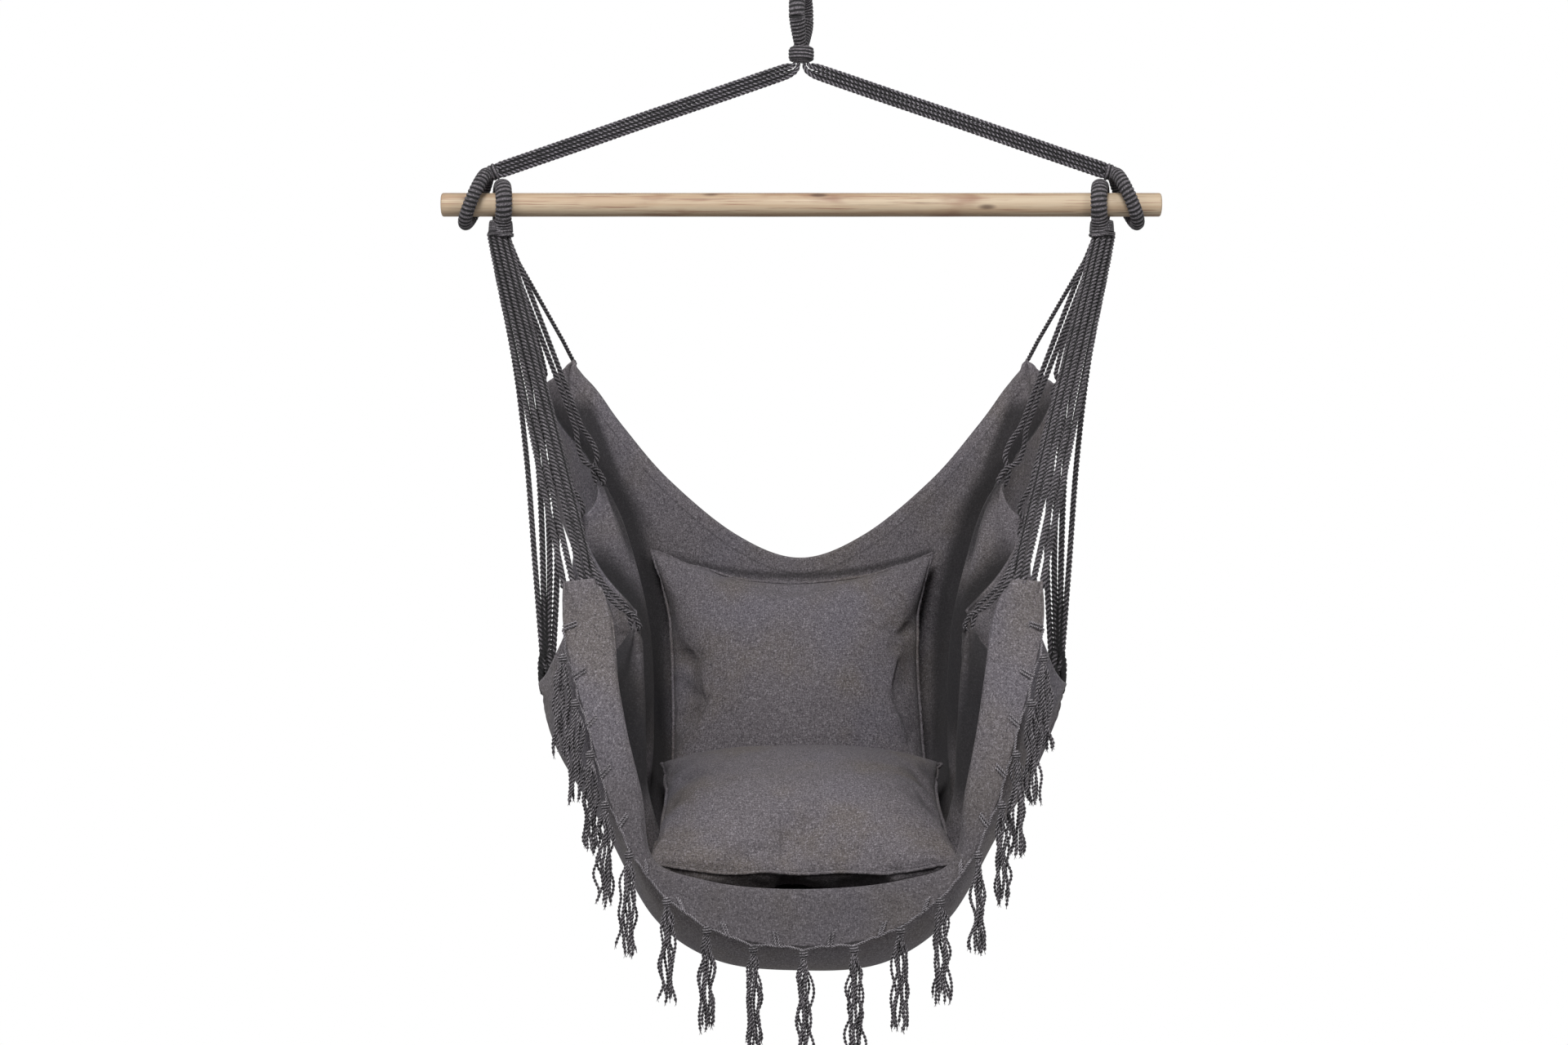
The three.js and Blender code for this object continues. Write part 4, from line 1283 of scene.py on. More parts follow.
@dataclass
class SlingCloth(SubAssembly):
    """The canvas sheet, with folds drawn in to the ropes, soft drapes between them, and painted shade.

    Heights of its relief are in millimetres. Scallops give how far the edge is drawn in between the
    ropes at each row of the net, as shares of the deepest scallop. The band is the cloth behind the
    front ropes, whose inner edge slopes, and painted shades run from 0 (open) to 1 (dark).
    """

    surface: SlingSurface
    across: int = 240
    along: int = 300
    thickness: float = 1.8
    set_back: float = 0.3
    folds: float = 4.2
    fold_rows: tuple[int, ...] = (0, 1, 2, 3, 4, 5, 7, 8)
    broad_folds: int = 9
    fine_folds: int = 17
    fold_root: float = 12.0
    fold_start: float = 22.0
    fold_fade: float = 80.0
    fine_height: float = 0.5
    row_turn: float = 1.7
    side_turn: float = 0.8
    pleats_from: tuple[float, float] = (0.3, 0.6)
    free_from: tuple[float, float] = (0.42, 0.67)
    flap_from: tuple[float, float] = (0.86, 0.9)
    hem_from: tuple[float, float] = (0.15, 0.55)
    scallops_from: tuple[float, float] = (0.8, 1.0)
    drapes: float = 3.0
    crumples: float = 0.7
    hem_waves: float = 2.6
    hem_wave_count: int = 34
    hem_share: float = 0.05
    bag_waves: float = 1.4
    flap_waves: float = 2.2
    scallop: float = 0.042
    scallops: tuple[float, ...] = (0.5, 0.6, 0.5, 0.5, 0.6, 0.6, 0.5, 0.12, 0)
    half_span: float = 330.0
    edge_run: float = 1900.0
    band_inside: float = 296.0
    band_slope: float = 0.4
    band_height: float = -546.0
    band_edge: float = 22.0
    band_top: tuple[float, float] = (-520.0, -570.0)
    band_bottom: tuple[float, float] = (-840.0, -750.0)
    band_rows: tuple[float, float] = (2.3, 2.0)
    band_shade: float = 0.72
    flap_rows: tuple[float, float] = (7.0, 7.1)
    flap_low: tuple[float, float] = (-960.0, -1110.0)
    flap_shade: float = 0.13
    flap_low_shade: float = 0.25
    cushion_middle: float = -10.0
    cushion_half: float = 205.0
    cushion_dip: float = 36.0
    edge_shade: float = 0.6
    edge_lift: float = 2.0
    edge_width: float = 7.0
    edge_ends: tuple[float, float] = (10.0, -2.0)
    seat_light: float = 0.75
    seat_rear: tuple[float, float] = (1.4, 2.2)
    seat_front: tuple[float, float] = (6.9, 6.1)
    seat_side: tuple[float, float] = (0.62, 0.42)
    hollow_shade: float = 0.09
    hollow_depth: float = 3.0
    fold_cell: float = 9.0
    fold_rings: tuple[tuple[float, float], ...] = ((1.6, 1.0), (3.0, 0.8), (4.6, 0.55))
    fold_directions: int = 10
    fold_least: float = 10.0
    fold_deep: float = 55.0
    fold_gain: float = 1.5

    def pleats(self, u: Array, v: Array) -> Array:
        """Sums the pleats that fan out from the ropes (two cosines of the angle round each rope's end,
        which fade with the distance from it).

        Args:
            u: Across, -1 to 1.
            v: Along, 0 to 1.

        Returns:
            Heights in millimetres.
        """
        total = np.zeros(u.shape)
        for row in self.fold_rows:
            du = (1 - np.abs(u)) * self.half_span
            dv = (v - row / NET_SPANS) * self.edge_run
            reach = np.hypot(du, dv)
            angle = np.arctan2(dv, du + self.fold_root)
            start = self.row_turn * row + self.side_turn * np.sign(u)
            broad = np.cos(self.broad_folds * angle + start)
            fine = self.fine_height * np.cos(self.fine_folds * angle + row)
            fade = np.exp(-reach / self.fold_fade) * ease(reach / self.fold_start)
            total += self.folds * (broad + fine) * fade
        return total

    def relief(self, u: Array, v: Array) -> Array:
        """Gives how far the cloth leaves the smooth surface, towards the sitter: pleats and drapes at
        the sides, shallow hollows under the sitter, waves along the hem and on the flap.

        Args:
            u: Across, -1 to 1.
            v: Along, 0 to 1.

        Returns:
            Distances in millimetres.
        """
        side = np.abs(u)
        free = ramp(side, *self.free_from)
        flap = ramp(v, *self.flap_from)
        folded = self.pleats(u, v) * ramp(side, *self.pleats_from)
        draped = self.drapes * waves(u * 3.0, v * 9.0, seed=11, count=9, low=0.25, high=0.8)
        crumpled = self.crumples * waves(u * 9.0, v * 30.0, seed=23, count=16, low=0.3, high=1.0)
        total = folded + (draped + crumpled) * free
        hem = np.cos(TURN * (v * self.hem_wave_count + 0.35 * side)) * np.exp(-v / self.hem_share)
        hem = hem * ramp(side, *self.hem_from)
        hollow = 1 + waves(u * 4.0, v * 14.0, seed=31, count=10, low=0.3, high=0.9)
        ripple = waves(u * 6.0, v * 5.0, seed=47, count=9, low=0.4, high=1.0) * ramp(v, 1.0, 0.9)
        return (total * (1 - 0.5 * flap) - self.bag_waves * hollow * (1 - free) * (1 - flap)
                + self.flap_waves * ripple * flap + self.hem_waves * hem)

    def scalloped(self, u: Array, v: Array) -> Array:
        """Draws the side edges in between the ropes (by the squared sine of the way from rope to rope).

        Args:
            u: Across, -1 to 1.
            v: Along, 0 to 1.

        Returns:
            The places across, drawn in.
        """
        depth = self.scallop * np.interp(v * NET_SPANS, range(NET_SPANS + 1), self.scallops)
        between = np.sin(NET_SPANS * math.pi * v) ** 2
        return u - np.sign(u) * depth * between * ramp(np.abs(u), *self.scallops_from)

    def covered(self, v: Array, points: Array) -> Array:
        """Tells where shade is painted on the cloth: behind the front ropes, as a painted shadow along the
        back cushion's top (a parabola), and on the turned-out flap, darker towards its bottom.

        Args:
            v: Along, 0 to 1.
            points: The cloth's points, in millimetres.

        Returns:
            Values of 0 (open) to 1 (dark).
        """
        x, z, row = points[..., 0], points[..., 2], v * NET_SPANS
        inside = self.band_inside + self.band_slope * (z - self.band_height)
        behind = self.band_shade * ramp(np.abs(x), inside, inside + self.band_edge)
        behind = behind * ramp(z, *self.band_top) * ramp(row, *self.band_rows) * ramp(z, *self.band_bottom)
        low = self.flap_low_shade * ramp(z, *self.flap_low)
        flap = (self.flap_shade + low) * ramp(row, *self.flap_rows)
        aside, half = np.abs(x - self.cushion_middle), self.cushion_half
        top = -BACK_TOP - self.cushion_dip * (1 - np.clip(aside / half, 0, 1) ** 2)
        near = bell((z - top + self.edge_lift) / self.edge_width)
        edge = self.edge_shade * near * ramp(aside, *(half + end for end in self.edge_ends))
        return np.maximum(np.maximum(behind, edge * (row < 1.5)), flap)

    def fold_depth(self, points: Array, far: float = 1e6) -> Array:
        """Measures how far each point lies behind the cloth around it, seen from the front (a weighted
        mean of its distance behind the foremost cloth, on rings of cells round it). A ring has a radius,
        in cells, and a weight.

        Args:
            points: The cloth's points, in millimetres.
            far: Distance that stands for an empty cell.

        Returns:
            Values of 0 (open) to 1 (deep in a fold).
        """
        low = points.reshape(-1, 3).min(axis=0) - 60
        cells = ((points - low) / self.fold_cell).astype(int)
        shape = tuple(cells.reshape(-1, 3).max(axis=0)[[0, 2]] + 9)
        front = np.full(shape, far)
        columns, rows = cells[..., 0], cells[..., 2]
        np.minimum.at(front, (columns, rows), points[..., 1])
        near = np.stack([np.roll(front, (i, k), (0, 1)) for i in (-1, 0, 1) for k in (-1, 0, 1)])
        front = np.where(front > far / 10, near.min(axis=0), front)
        total, weight = np.zeros(points.shape[:2]), 0.0
        for ring, share in self.fold_rings:
            for angle in np.arange(self.fold_directions) * TURN / self.fold_directions + ring:
                i = columns + int(round(ring * math.cos(angle)))
                k = rows + int(round(ring * math.sin(angle)))
                depth = points[..., 1] - front[i, k] - self.fold_least
                total += share * np.clip(depth / self.fold_deep, 0, 1)
                weight += share
        return np.clip(total / weight * self.fold_gain, 0, 1)

    @staticmethod
    def softened(values: Array, reach: int = 2) -> Array:
        """Blurs a grid (the mean of the values within a reach, along one axis and then the other).

        Args:
            values: The grid.
            reach: Number of neighbours on each side.

        Returns:
            The blurred grid.
        """
        for axis in (0, 1):
            ends = [(reach, reach) if k == axis else (0, 0) for k in (0, 1)]
            wide = np.pad(values, ends, mode="edge")
            values = np.mean([wide.take(range(k, k + values.shape[axis]), axis)
                              for k in range(2 * reach + 1)], axis=0)
        return values

    def shade(self, u: Array, v: Array, points: Array, relief: Array) -> Array:
        """Works out the painted shade of the cloth: deep in folds, less so under the sitter, in the hollows
        of its relief, and where it is covered.

        Args:
            u: Across, -1 to 1.
            v: Along, 0 to 1.
            points: The cloth's points, in millimetres.
            relief: Their distance from the smooth surface.

        Returns:
            Values of 0 (open) to 1 (dark).
        """
        row = v * NET_SPANS
        seat = ramp(row, *self.seat_rear) * ramp(row, *self.seat_front) * ramp(np.abs(u), *self.seat_side)
        hollow = self.hollow_shade * np.clip(-relief / self.hollow_depth, 0, 1.5)
        depth = self.softened(self.fold_depth(points) * (1 - self.seat_light * seat) + hollow)
        return np.clip(np.maximum(depth, self.covered(v, points)), 0, 1)

    def build(self) -> None:
        """Makes the sheet, with its true lengths as texture places."""
        u, v = np.meshgrid(np.linspace(-1, 1, self.across), np.linspace(0, 1, self.along))
        u = self.scalloped(u, v)
        middle = self.surface.at(u, v)
        relief = self.relief(u, v)
        points = middle + self.surface.normal(u, v) * (relief - self.set_back)[..., None]
        over = np.linalg.norm(np.diff(middle, axis=1), axis=-1)
        down = np.linalg.norm(np.diff(middle, axis=0), axis=-1)
        run_u = np.concatenate([np.zeros((self.along, 1)), np.cumsum(over, axis=1)], axis=1)
        run_u = (run_u - run_u[:, self.across // 2][:, None]) * MM
        run_v = np.concatenate([np.zeros((1, self.across)), np.cumsum(down, axis=0)], axis=0) * MM
        # The sheet carries its painted shade as a point attribute
        made = mesh_object("sling_canvas", [Patch(
            points, round_cols=False, capped=False, solid=False, uv=np.stack([run_u, run_v], axis=-1),
            painted_shade=self.shade(u, v, points, relief))])
        shell = made.modifiers.new("thickness", "SOLIDIFY")
        shell.thickness = self.thickness * MM
        shell.offset = 0.0
        shell.use_even_offset = False
        # The outer face takes the second material, without the painted shade
        shell.material_offset = 1
        self.dress(made, Body.SLING, self.finishes.canvas, "canvas", "sling_cloth")
        made.data.materials.append(self.finishes.outside)


class Ending(Enum):
    """How a rope ends at the cloth."""

    THROUGH = "through"
    SPLICED = "spliced"
    BEHIND = "behind"


@dataclass(frozen=True)
class Strap:
    """One run of rope from a collar to the cloth.

    The start is an offset from the collar's middle (outwards, back). Places on the way are points of
    the right side. The two legs of a rope through the cloth run a gap to either side of its line, and
    bulge over their last length. A spliced rope turns back for its eye's length.
    """

    node: int
    start: tuple[float, float]
    row: float
    ending: Ending
    gap: float = 3.7
    bulge: float = 0.0
    bulge_length: float = 60.0
    eye: float = 42.0
    radius: float = 3.6
    hand: int = 1
    via: tuple[tuple[float, float, float], ...] = ()


STRAPS = (
    Strap(1, (-9, 9), 0, Ending.BEHIND, radius=3.3),
    Strap(2, (-1, 10), 1, Ending.THROUGH, gap=6.5, bulge=3.0, bulge_length=150.0, radius=3.4),
    Strap(3, (-10, 2), 2, Ending.THROUGH, gap=4.1, bulge=7.0, bulge_length=75.0, radius=3.9),
    Strap(4, (-3, 3), 3, Ending.THROUGH, gap=4.1, bulge=7.0, bulge_length=60.0, radius=3.9),
    Strap(5, (-5, -4), 4, Ending.THROUGH, gap=3.3, bulge=1.5, bulge_length=60.0, radius=3.2,
          via=((360, -62, -525), (287, -138, -772))),
    Strap(6, (8, 3), 5, Ending.SPLICED, bulge=5.0, eye=46.0, radius=4.4,
          via=((378, -45, -511), (357, -90, -643), (345.5, -138, -775))),
    Strap(6, (3, 5), 4.94, Ending.SPLICED, bulge=2.0, eye=34.0, hand=-1, radius=4.4,
          via=((369, -45, -511), (348, -90, -643), (336, -138, -775))),
    Strap(6, (13, -2), 5, Ending.SPLICED, bulge=2.0, eye=24.0, radius=4.1,
          via=((391.6, -58, -511), (371, -100, -643), (354.5, -147, -787))),
    Strap(7, (-9, 1), 4.87, Ending.SPLICED, bulge=2.0, eye=30.0, radius=4.4,
          via=((360, -45, -511), (339, -90, -643), (326.5, -138, -775))),
    Strap(7, (-13, -7), 7.0, Ending.BEHIND, radius=4.3),
    Strap(7, (-7, -11), 7.25, Ending.BEHIND, radius=4.4),
    Strap(7, (0, -13), 7.5, Ending.BEHIND, radius=4.5),
    Strap(8, (7, -12), 7.75, Ending.BEHIND, radius=4.4),
    Strap(8, (13, -8), 8.0, Ending.BEHIND, radius=4.3),
)


@dataclass
class Suspension(SubAssembly):
    """The fan of ropes on one side."""

    side: int
    label: str
    surface: SlingSurface
    ropes: int = 8
    bend_reach: float = 6.2
    inset: float = 7.0
    pair_gap: float = 3.2
    splice_gap: float = 3.3
    opening: float = 80.0
    closing: float = 26.0
    far_side: float = 1.5
    far_side_flap: float = 5.0
    last_bag_row: int = 6
    before_edge: float = 2.0
    past_edge: float = 9.0
    lead_share: float = 0.35
    line_step: float = 8.0
    cut_points: int = 4
    phase_step: float = 0.9

    def leg(self, strap: Strap, sign: int) -> tuple[Array, float]:
        """Gives one leg of a rope, from the collar to the cloth.

        Args:
            strap: Which run of rope.
            sign: 1 for the leg down, -1 for the leg back.

        Returns:
            Points from the collar to the cloth, and the leg's length.
        """
        out, back = strap.start
        start = vec(self.side * (INNER_REACH + out), back, COLLAR_FOOT + COLLAR_RISE)
        knee = start - vec(0, 0, ROPE_LEAD)
        edge, _, normal = self.surface.beside_edge(self.side, strap.row)
        places = [np.array(point) * vec(self.side, 1, 1) for point in strap.via]
        first = (places + [edge])[0]
        lead = knee + self.lead_share * (first - knee)
        line = curve([start, knee, lead, *places, edge], self.line_step)
        run = arc_length(line)
        if strap.ending is Ending.BEHIND:
            return line[:-1], float(run[-1])
        left = run[-1] - run
        around = unit(vec(self.side * out, back, 0))
        across = unit(np.cross(unit(edge - knee), vec(0, 1, 0))) * -self.side
        opened = ease(run / self.opening)[:, None]
        near = ease(1 - left / self.closing)[:, None]
        if strap.ending is Ending.SPLICED:
            bow = strap.bulge * np.sin(math.pi * np.clip(left / strap.eye, 0, 1))
            aside, apart = -bow - (self.splice_gap if sign < 0 else 0.0), 0.0
        else:
            swell = np.sin(math.pi * np.clip(left / strap.bulge_length, 0, 1)) ** 1.5
            aside, apart = strap.gap + strap.bulge * swell, self.pair_gap
        offset = (around * apart * (1 - opened) + across * aside[:, None] * opened * (1 - near)
                  + normal * self.bend_reach * near)
        return (line + sign * offset)[:-1], float(run[-1])

    def rope(self, strap: Strap) -> Array:
        """Gives a rope's centre line, down to the cloth, round its bend and back, or to its end behind
        the cloth.

        Args:
            strap: Which run of rope.

        Returns:
            Points on the line.
        """
        down, length = self.leg(strap, 1)
        edge, inward, normal = self.surface.beside_edge(self.side, strap.row)
        if strap.ending is Ending.BEHIND:
            depth = self.far_side_flap if strap.row > self.last_bag_row else self.far_side
            end = edge + normal * np.sign(normal[1]) * depth
            tail = (end - inward * self.before_edge, end + inward * self.past_edge)
            return curve([*down[:-self.cut_points], *tail], Lay.step)
        turn = np.linspace(0, math.pi, 9)[1:-1]
        start = edge + inward * self.inset
        bend = (start + normal * (self.bend_reach * np.cos(turn))[:, None]
                + inward * (self.bend_reach * np.sin(turn))[:, None])
        back = self.leg(strap, -1)[0][::-1]
        if strap.ending is Ending.SPLICED:
            back = back[: max(int(len(back) * strap.eye / length), 3)]
        return curve([*down, *bend, *back], Lay.step)

    def build(self) -> None:
        """Makes the ropes of this side."""
        lines = [(self.rope(strap), strap.radius) for strap in STRAPS]
        for number in range(1, self.ropes + 1):
            patches = []
            for index, strap in enumerate(STRAPS):
                if strap.node != number:
                    continue
                lay = Lay(radius=strap.radius, hand=strap.hand * self.side)
                phase = self.phase_step * number + len(patches)
                patches.append(lay.along(lines[index][0], vec(0, 1, 0.02), phase=phase))
                paint_shade_beside(patches[-1], lines[:index] + lines[index + 1:], axis=2)
            rope = mesh_object(f"suspension_strand_{self.label}_{number}", patches)
            self.dress(rope, Body.SLING, self.finishes.rope, "rope",
                       f"suspension_rope_{self.label}_{number}")


# Lacing and tassels

@dataclass
class Lacing(SubAssembly):
    """The thin cord along the flap's edge: a double stitch between each two tassels.

    A stitch is given by pairs of inset from the edge and height over the cloth. A dip is given by
    shares of the way to a knot and the insets there.
    """

    surface: SlingSurface
    lay: Lay = Lay(radius=1.65, pitch=7.0, strands=2, sides=8, step=0.9)
    stitch: Pairs = ((-1.6, 2.2), (1.0, 3.1), (6.0, 3.0), (11.0, 2.9), (15.0, 2.6), (17.2, -0.4))
    stitch_gap: float = 2.1
    down_dip: Pairs = ((0.35, -0.6), (0.72, -3.0))
    up_dip: Pairs = ((0.28, -3.0), (0.65, -0.6))
    dip_height: float = 3.0
    knot_inset: float = -4.6
    knot_height: float = LACING_PROUD - 0.6
    sample: float = 0.01

    def build(self) -> None:
        """Makes the cord."""
        knots = np.array(TASSEL_PLACES)
        stitches = np.concatenate([[-LACING_END], (knots[1:] + knots[:-1]) / 2, [LACING_END]])
        face = self.surface.beside_flap
        places: list[Array] = []
        for k, u in enumerate(stitches):
            step = self.surface.at(u + self.sample, 1) - self.surface.at(u - self.sample, 1)
            aside = 2 * self.sample * self.stitch_gap / float(np.linalg.norm(step))
            places += [face(u - aside, inset, height) for inset, height in self.stitch]
            places += [face(u + aside, inset, height) for inset, height in self.stitch[::-1]]
            if k < len(knots):
                places += [face(u + (knots[k] - u) * share, inset, self.dip_height)
                           for share, inset in self.down_dip]
                places.append(face(knots[k], self.knot_inset, self.knot_height))
                places += [face(knots[k] + (stitches[k + 1] - knots[k]) * share, inset, self.dip_height)
                           for share, inset in self.up_dip]
        path = curve(places, self.lay.step)
        made = mesh_object("edge_lacing_cord", [self.lay.along(path, vec(0, 1, 0.03))])
        self.dress(made, Body.SLING, self.finishes.lace, "yarn", "edge_lacing")


@dataclass
class Tassel(SubAssembly):
    """A wound knot under the lacing, and the thin twisted strands that hang from it."""

    number: int
    centre: Array
    strands: int = 9
    lay: Lay = Lay(radius=2.2, pitch=10.0, strands=2, sides=8, step=1.5)
    knot: Serving = Serving(base=3.4, bead=1.6, pitch=3.3, sides=16, samples=7)
    knot_swell: Pairs = ((0, 0.3), (0.25, 1.1), (0.6, 1.25), (1, 0.75))
    root: float = 2.0
    spread: tuple[float, float] = (4.5, 11.0)
    flatness: float = 0.7
    trim: tuple[float, float] = (0.86, 0.97)
    turn_error: float = 0.3
    swing: float = 2.6
    sway: float = 1.8
    drift: float = 2.0
    periods: tuple[float, float] = (1.4, 2.6)
    fibres: int = 3
    fibre_length: tuple[float, float] = (3.0, 5.5)
    fibre_radii: tuple[float, float] = (0.5, 0.22)
    fibre_root: float = 1.2
    fibre_lean: float = 2.0

    def build(self) -> None:
        """Makes the knot, the strands and their frayed ends."""
        chance = np.random.default_rng(100 + self.number)
        line = np.linspace(self.centre + vec(0, 0, KNOT_RADIUS), self.centre - vec(0, 0, KNOT_RADIUS + 1), 20)
        patches = [self.knot.along(line, vec(0, 1, 0), scale=self.knot_swell)]
        for k in range(self.strands):
            path = self._strand(k, chance)
            patches.append(self.lay.along(curve(path, 1.0), vec(0, 1, 0), phase=chance.uniform(0, TURN)))
            patches += self._fray(path[-1], chance)
        made = mesh_object(f"tassel_strands_{self.number}", patches)
        self.dress(made, Body.SLING, self.finishes.yarn, "yarn", f"tassel_{self.number}")

    def _strand(self, k: int, chance: np.random.Generator) -> Array:
        """Gives a strand's line (straight down, spread outwards, with two sine waves across).

        Args:
            k: The strand's number.
            chance: Random values.

        Returns:
            Points on the line.
        """
        neck = self.centre - vec(0, 0, KNOT_RADIUS - 1)
        bottom = TASSEL_LENGTH - KNOT_RADIUS - 1.5
        turn = TURN * k / self.strands + chance.uniform(-self.turn_error, self.turn_error)
        length = bottom * chance.uniform(*self.trim) - KNOT_RADIUS
        spread = chance.uniform(*self.spread)
        around = vec(math.cos(turn), self.flatness * math.sin(turn), 0)
        share = np.linspace(0, 1, 15)
        periods, phase = chance.uniform(*self.periods), chance.uniform(0, 1)
        swing = self.swing * np.sin(TURN * (share * periods + phase)) * ease(share * 6)
        sway = self.sway * np.sin(TURN * (share * periods * 0.8 + phase * 3)) * ease(share * 5)
        bow = self.root + (spread - self.root) * ease(share * 5) * (0.75 + 0.35 * share) + swing
        drift = chance.uniform(-self.drift, self.drift) * share**2 + sway
        return (neck - vec(0, 0, 1) * (length * share)[:, None] + around * bow[:, None]
                + vec(1, 0, 0) * drift[:, None])

    def _fray(self, end: Array, chance: np.random.Generator) -> list[Patch]:
        """Makes the curled fibres at a strand's end.

        Args:
            end: The strand's end.
            chance: Random values.

        Returns:
            The fibres' surfaces.
        """
        fibres = []
        for _ in range(self.fibres):
            lean = chance.uniform(-1, 1, 2)
            length = chance.uniform(*self.fibre_length)
            share = np.linspace(0, 1, 6)[:, None]
            away = vec(lean[0], lean[1], 0) * self.fibre_lean * share**1.5
            path = end + vec(0, 0, self.fibre_root) - vec(0, 0, length) * share + away
            radius = np.repeat(np.linspace(*self.fibre_radii, 6)[:, None], 5, axis=1)
            fibres.append(sweep(path, radius, vec(0, 1, 0)))
        return fibres


# Cushions

@dataclass
class Cushion(SubAssembly):
    """A filled cover: two square sheets that share a seam, blown up by cloth simulation.

    Places on the square are s (across) and t (up), each from -1 to 1. The top edge may dip, its
    corners stand out (ears), the whole lean aside, and the front edge droop, all in millimetres.
    """

    name: str
    node: str
    body: Body
    tilt: float
    seed: int
    top_dip: float = 0.0
    ears: float = 0.0
    lean: float = 0.0
    droop: float = 0.0
    side: float = CUSHION_SIDE
    thickness: float = CUSHION_THICKNESS
    cells: int = 72
    cut_over: float = 8.0
    crown: float = 34.0
    uneven: float = 1.5
    cap: float = 30.0
    shell_power: float = 2.3
    shell_round: float = 0.55
    skin: float = 1.5
    pucker: float = 1.5
    pucker_reach: float = 13.0
    pucker_pitches: tuple[float, float, float] = (4.6, 31.0, 7.9)
    crease: float = 2.6
    crease_reach: float = 42.0
    creases: int = 9
    seam_wave: float = 1.4
    seam_pitch: float = 17.0
    welt_radius: float = 2.3
    welt_uneven: float = 0.3
    frames: int = 20

    def sheets(self) -> tuple[Array, Array, Array, Array]:
        """Lays out the two sheets as one closed grid.

        Returns:
            Points, faces, texture places per face corner, and each point's place on the square.
        """
        n = self.cells
        k = np.linspace(-1, 1, n + 1)
        s, t = np.meshgrid(k, k)
        s, t = s.ravel(), t.ravel()
        rim = (np.abs(s) > 0.9999) | (np.abs(t) > 0.9999)
        lower = np.where(rim, np.arange(len(s)), 0)
        inner = np.flatnonzero(~rim)
        lower[inner] = len(s) + np.arange(len(inner))
        half = self.side / 2 + self.cut_over
        bumps = self.uneven * waves(s * 2, t * 2, self.seed, count=8, low=0.3, high=1.2)
        rise = self.crown * ((1 - s**4) * (1 - t**4)) ** 0.5 + np.where(rim, 0, bumps)
        flat = np.stack([s, t], axis=1)
        top = np.column_stack([flat * half, rise])
        points = np.concatenate([top, top[inner] * vec(1, 1, -1)])
        square = np.concatenate([flat, flat[inner]])
        i, j = np.meshgrid(np.arange(n), np.arange(n))
        a = (j * (n + 1) + i).ravel()
        upper = np.stack([a, a + 1, a + n + 2, a + n + 1], axis=1)
        faces = np.concatenate([upper, lower[upper][:, ::-1]])
        uv = flat * half * MM
        places = np.concatenate([uv[upper], uv[upper][:, ::-1] + 0.5])
        return points, faces, places, square

    def blow_up(self, made: Object) -> Array:
        """Fills the cover with air pressure, without weight.

        Args:
            made: The object.

        Returns:
            The points after the last frame, in millimetres.
        """
        cloth = made.modifiers.new("filling", "CLOTH")
        use = cloth.settings
        use.quality = 6
        use.mass = 0.15
        use.tension_stiffness = use.compression_stiffness = 18
        use.shear_stiffness = 6
        use.bending_stiffness = 0.25
        use.use_pressure = True
        use.uniform_pressure_force = 4
        use.effector_weights.gravity = 0
        cloth.collision_settings.use_collision = False
        cloth.point_cache.frame_start = 1
        cloth.point_cache.frame_end = self.frames
        scene = bpy.context.scene
        for frame in range(1, self.frames + 1):
            scene.frame_set(frame)
        result = made.evaluated_get(bpy.context.evaluated_depsgraph_get())
        mesh = result.to_mesh()
        flat = np.empty(len(mesh.vertices) * 3, dtype=np.float32)
        mesh.vertices.foreach_get("co", flat)
        result.to_mesh_clear()
        made.modifiers.remove(cloth)
        scene.frame_set(1)
        return flat.reshape(-1, 3).astype(float) / MM

    def fitted(self, points: Array, start: Array, square: Array) -> Array:
        """Holds the blown-up cover to the cushion's own size (the half thickness is at most a power of
        one less a power of each place on the square).

        Args:
            points: Points after the simulation.
            start: Points before it.
            square: Each point's place on the square.

        Returns:
            The points, in millimetres.
        """
        move = points - start
        size = np.linalg.norm(move, axis=1, keepdims=True)
        points = start + move * np.minimum(1, self.cap / np.maximum(size, 1e-9))
        s, t = np.abs(square).T
        half, half_thick = self.side / 2, self.thickness / 2
        corner = (s > 0.999) & (t > 0.999)
        points[:, :2] *= (half - 1) / np.abs(points[corner, :2]).mean(axis=0)
        points[:, :2] = np.clip(points[:, :2], -half, half)
        full = np.maximum((1 - s**self.shell_power) * (1 - t**self.shell_power), 0)
        shell = half_thick * full**self.shell_round
        points[:, 2] *= (half_thick - self.skin) / np.abs(points[:, 2]).max()
        points[:, 2] = np.clip(points[:, 2], -shell, shell)
        return points

    def shaped(self, points: Array, square: Array) -> Array:
        """Adds the puckers along the seam, the creases at the corners, and the cushion's own slump.

        Args:
            points: The fitted points, in millimetres.
            square: Each point's place on the square.

        Returns:
            The points, in millimetres.
        """
        s, t = square.T
        half = self.side / 2
        from_s, from_t = 1 - np.abs(s), 1 - np.abs(t)
        rim = np.minimum(from_s, from_t) * half
        along_rim = np.where(np.abs(s) > np.abs(t), t, s) * half
        narrow, drift, wide = (along_rim / pitch for pitch in self.pucker_pitches)
        gather = np.sin(narrow + 1.5 * np.sin(drift + self.seed)) + 0.6 * np.sin(wide)
        away = np.hypot(from_s, from_t) * half
        crease = np.sin(np.arctan2(from_s, from_t) * self.creases + self.seed)
        relief = (self.pucker * gather * np.exp(-rim / self.pucker_reach) * ramp(rim, 0, 9)
                  + self.crease * crease * np.exp(-away / self.crease_reach) * ramp(away, 0, 22))
        move_x = self.ears * s**5 * ramp(t, 0.55, 1.0) + self.lean * (t + 1) / 2
        move_y = -self.top_dip * (1 - s**2) * ramp(t, 0.2, 1.0)
        move_z = (np.sign(points[:, 2]) * relief
                  - self.droop * (1 - 0.75 * s**4) * ramp(t, -0.1, -1.0) ** 1.3
                  + self.seam_wave * np.sin(along_rim / self.seam_pitch + self.seed) * np.exp(-rim / 6))
        return points + np.stack([move_x, move_y, move_z], axis=1)

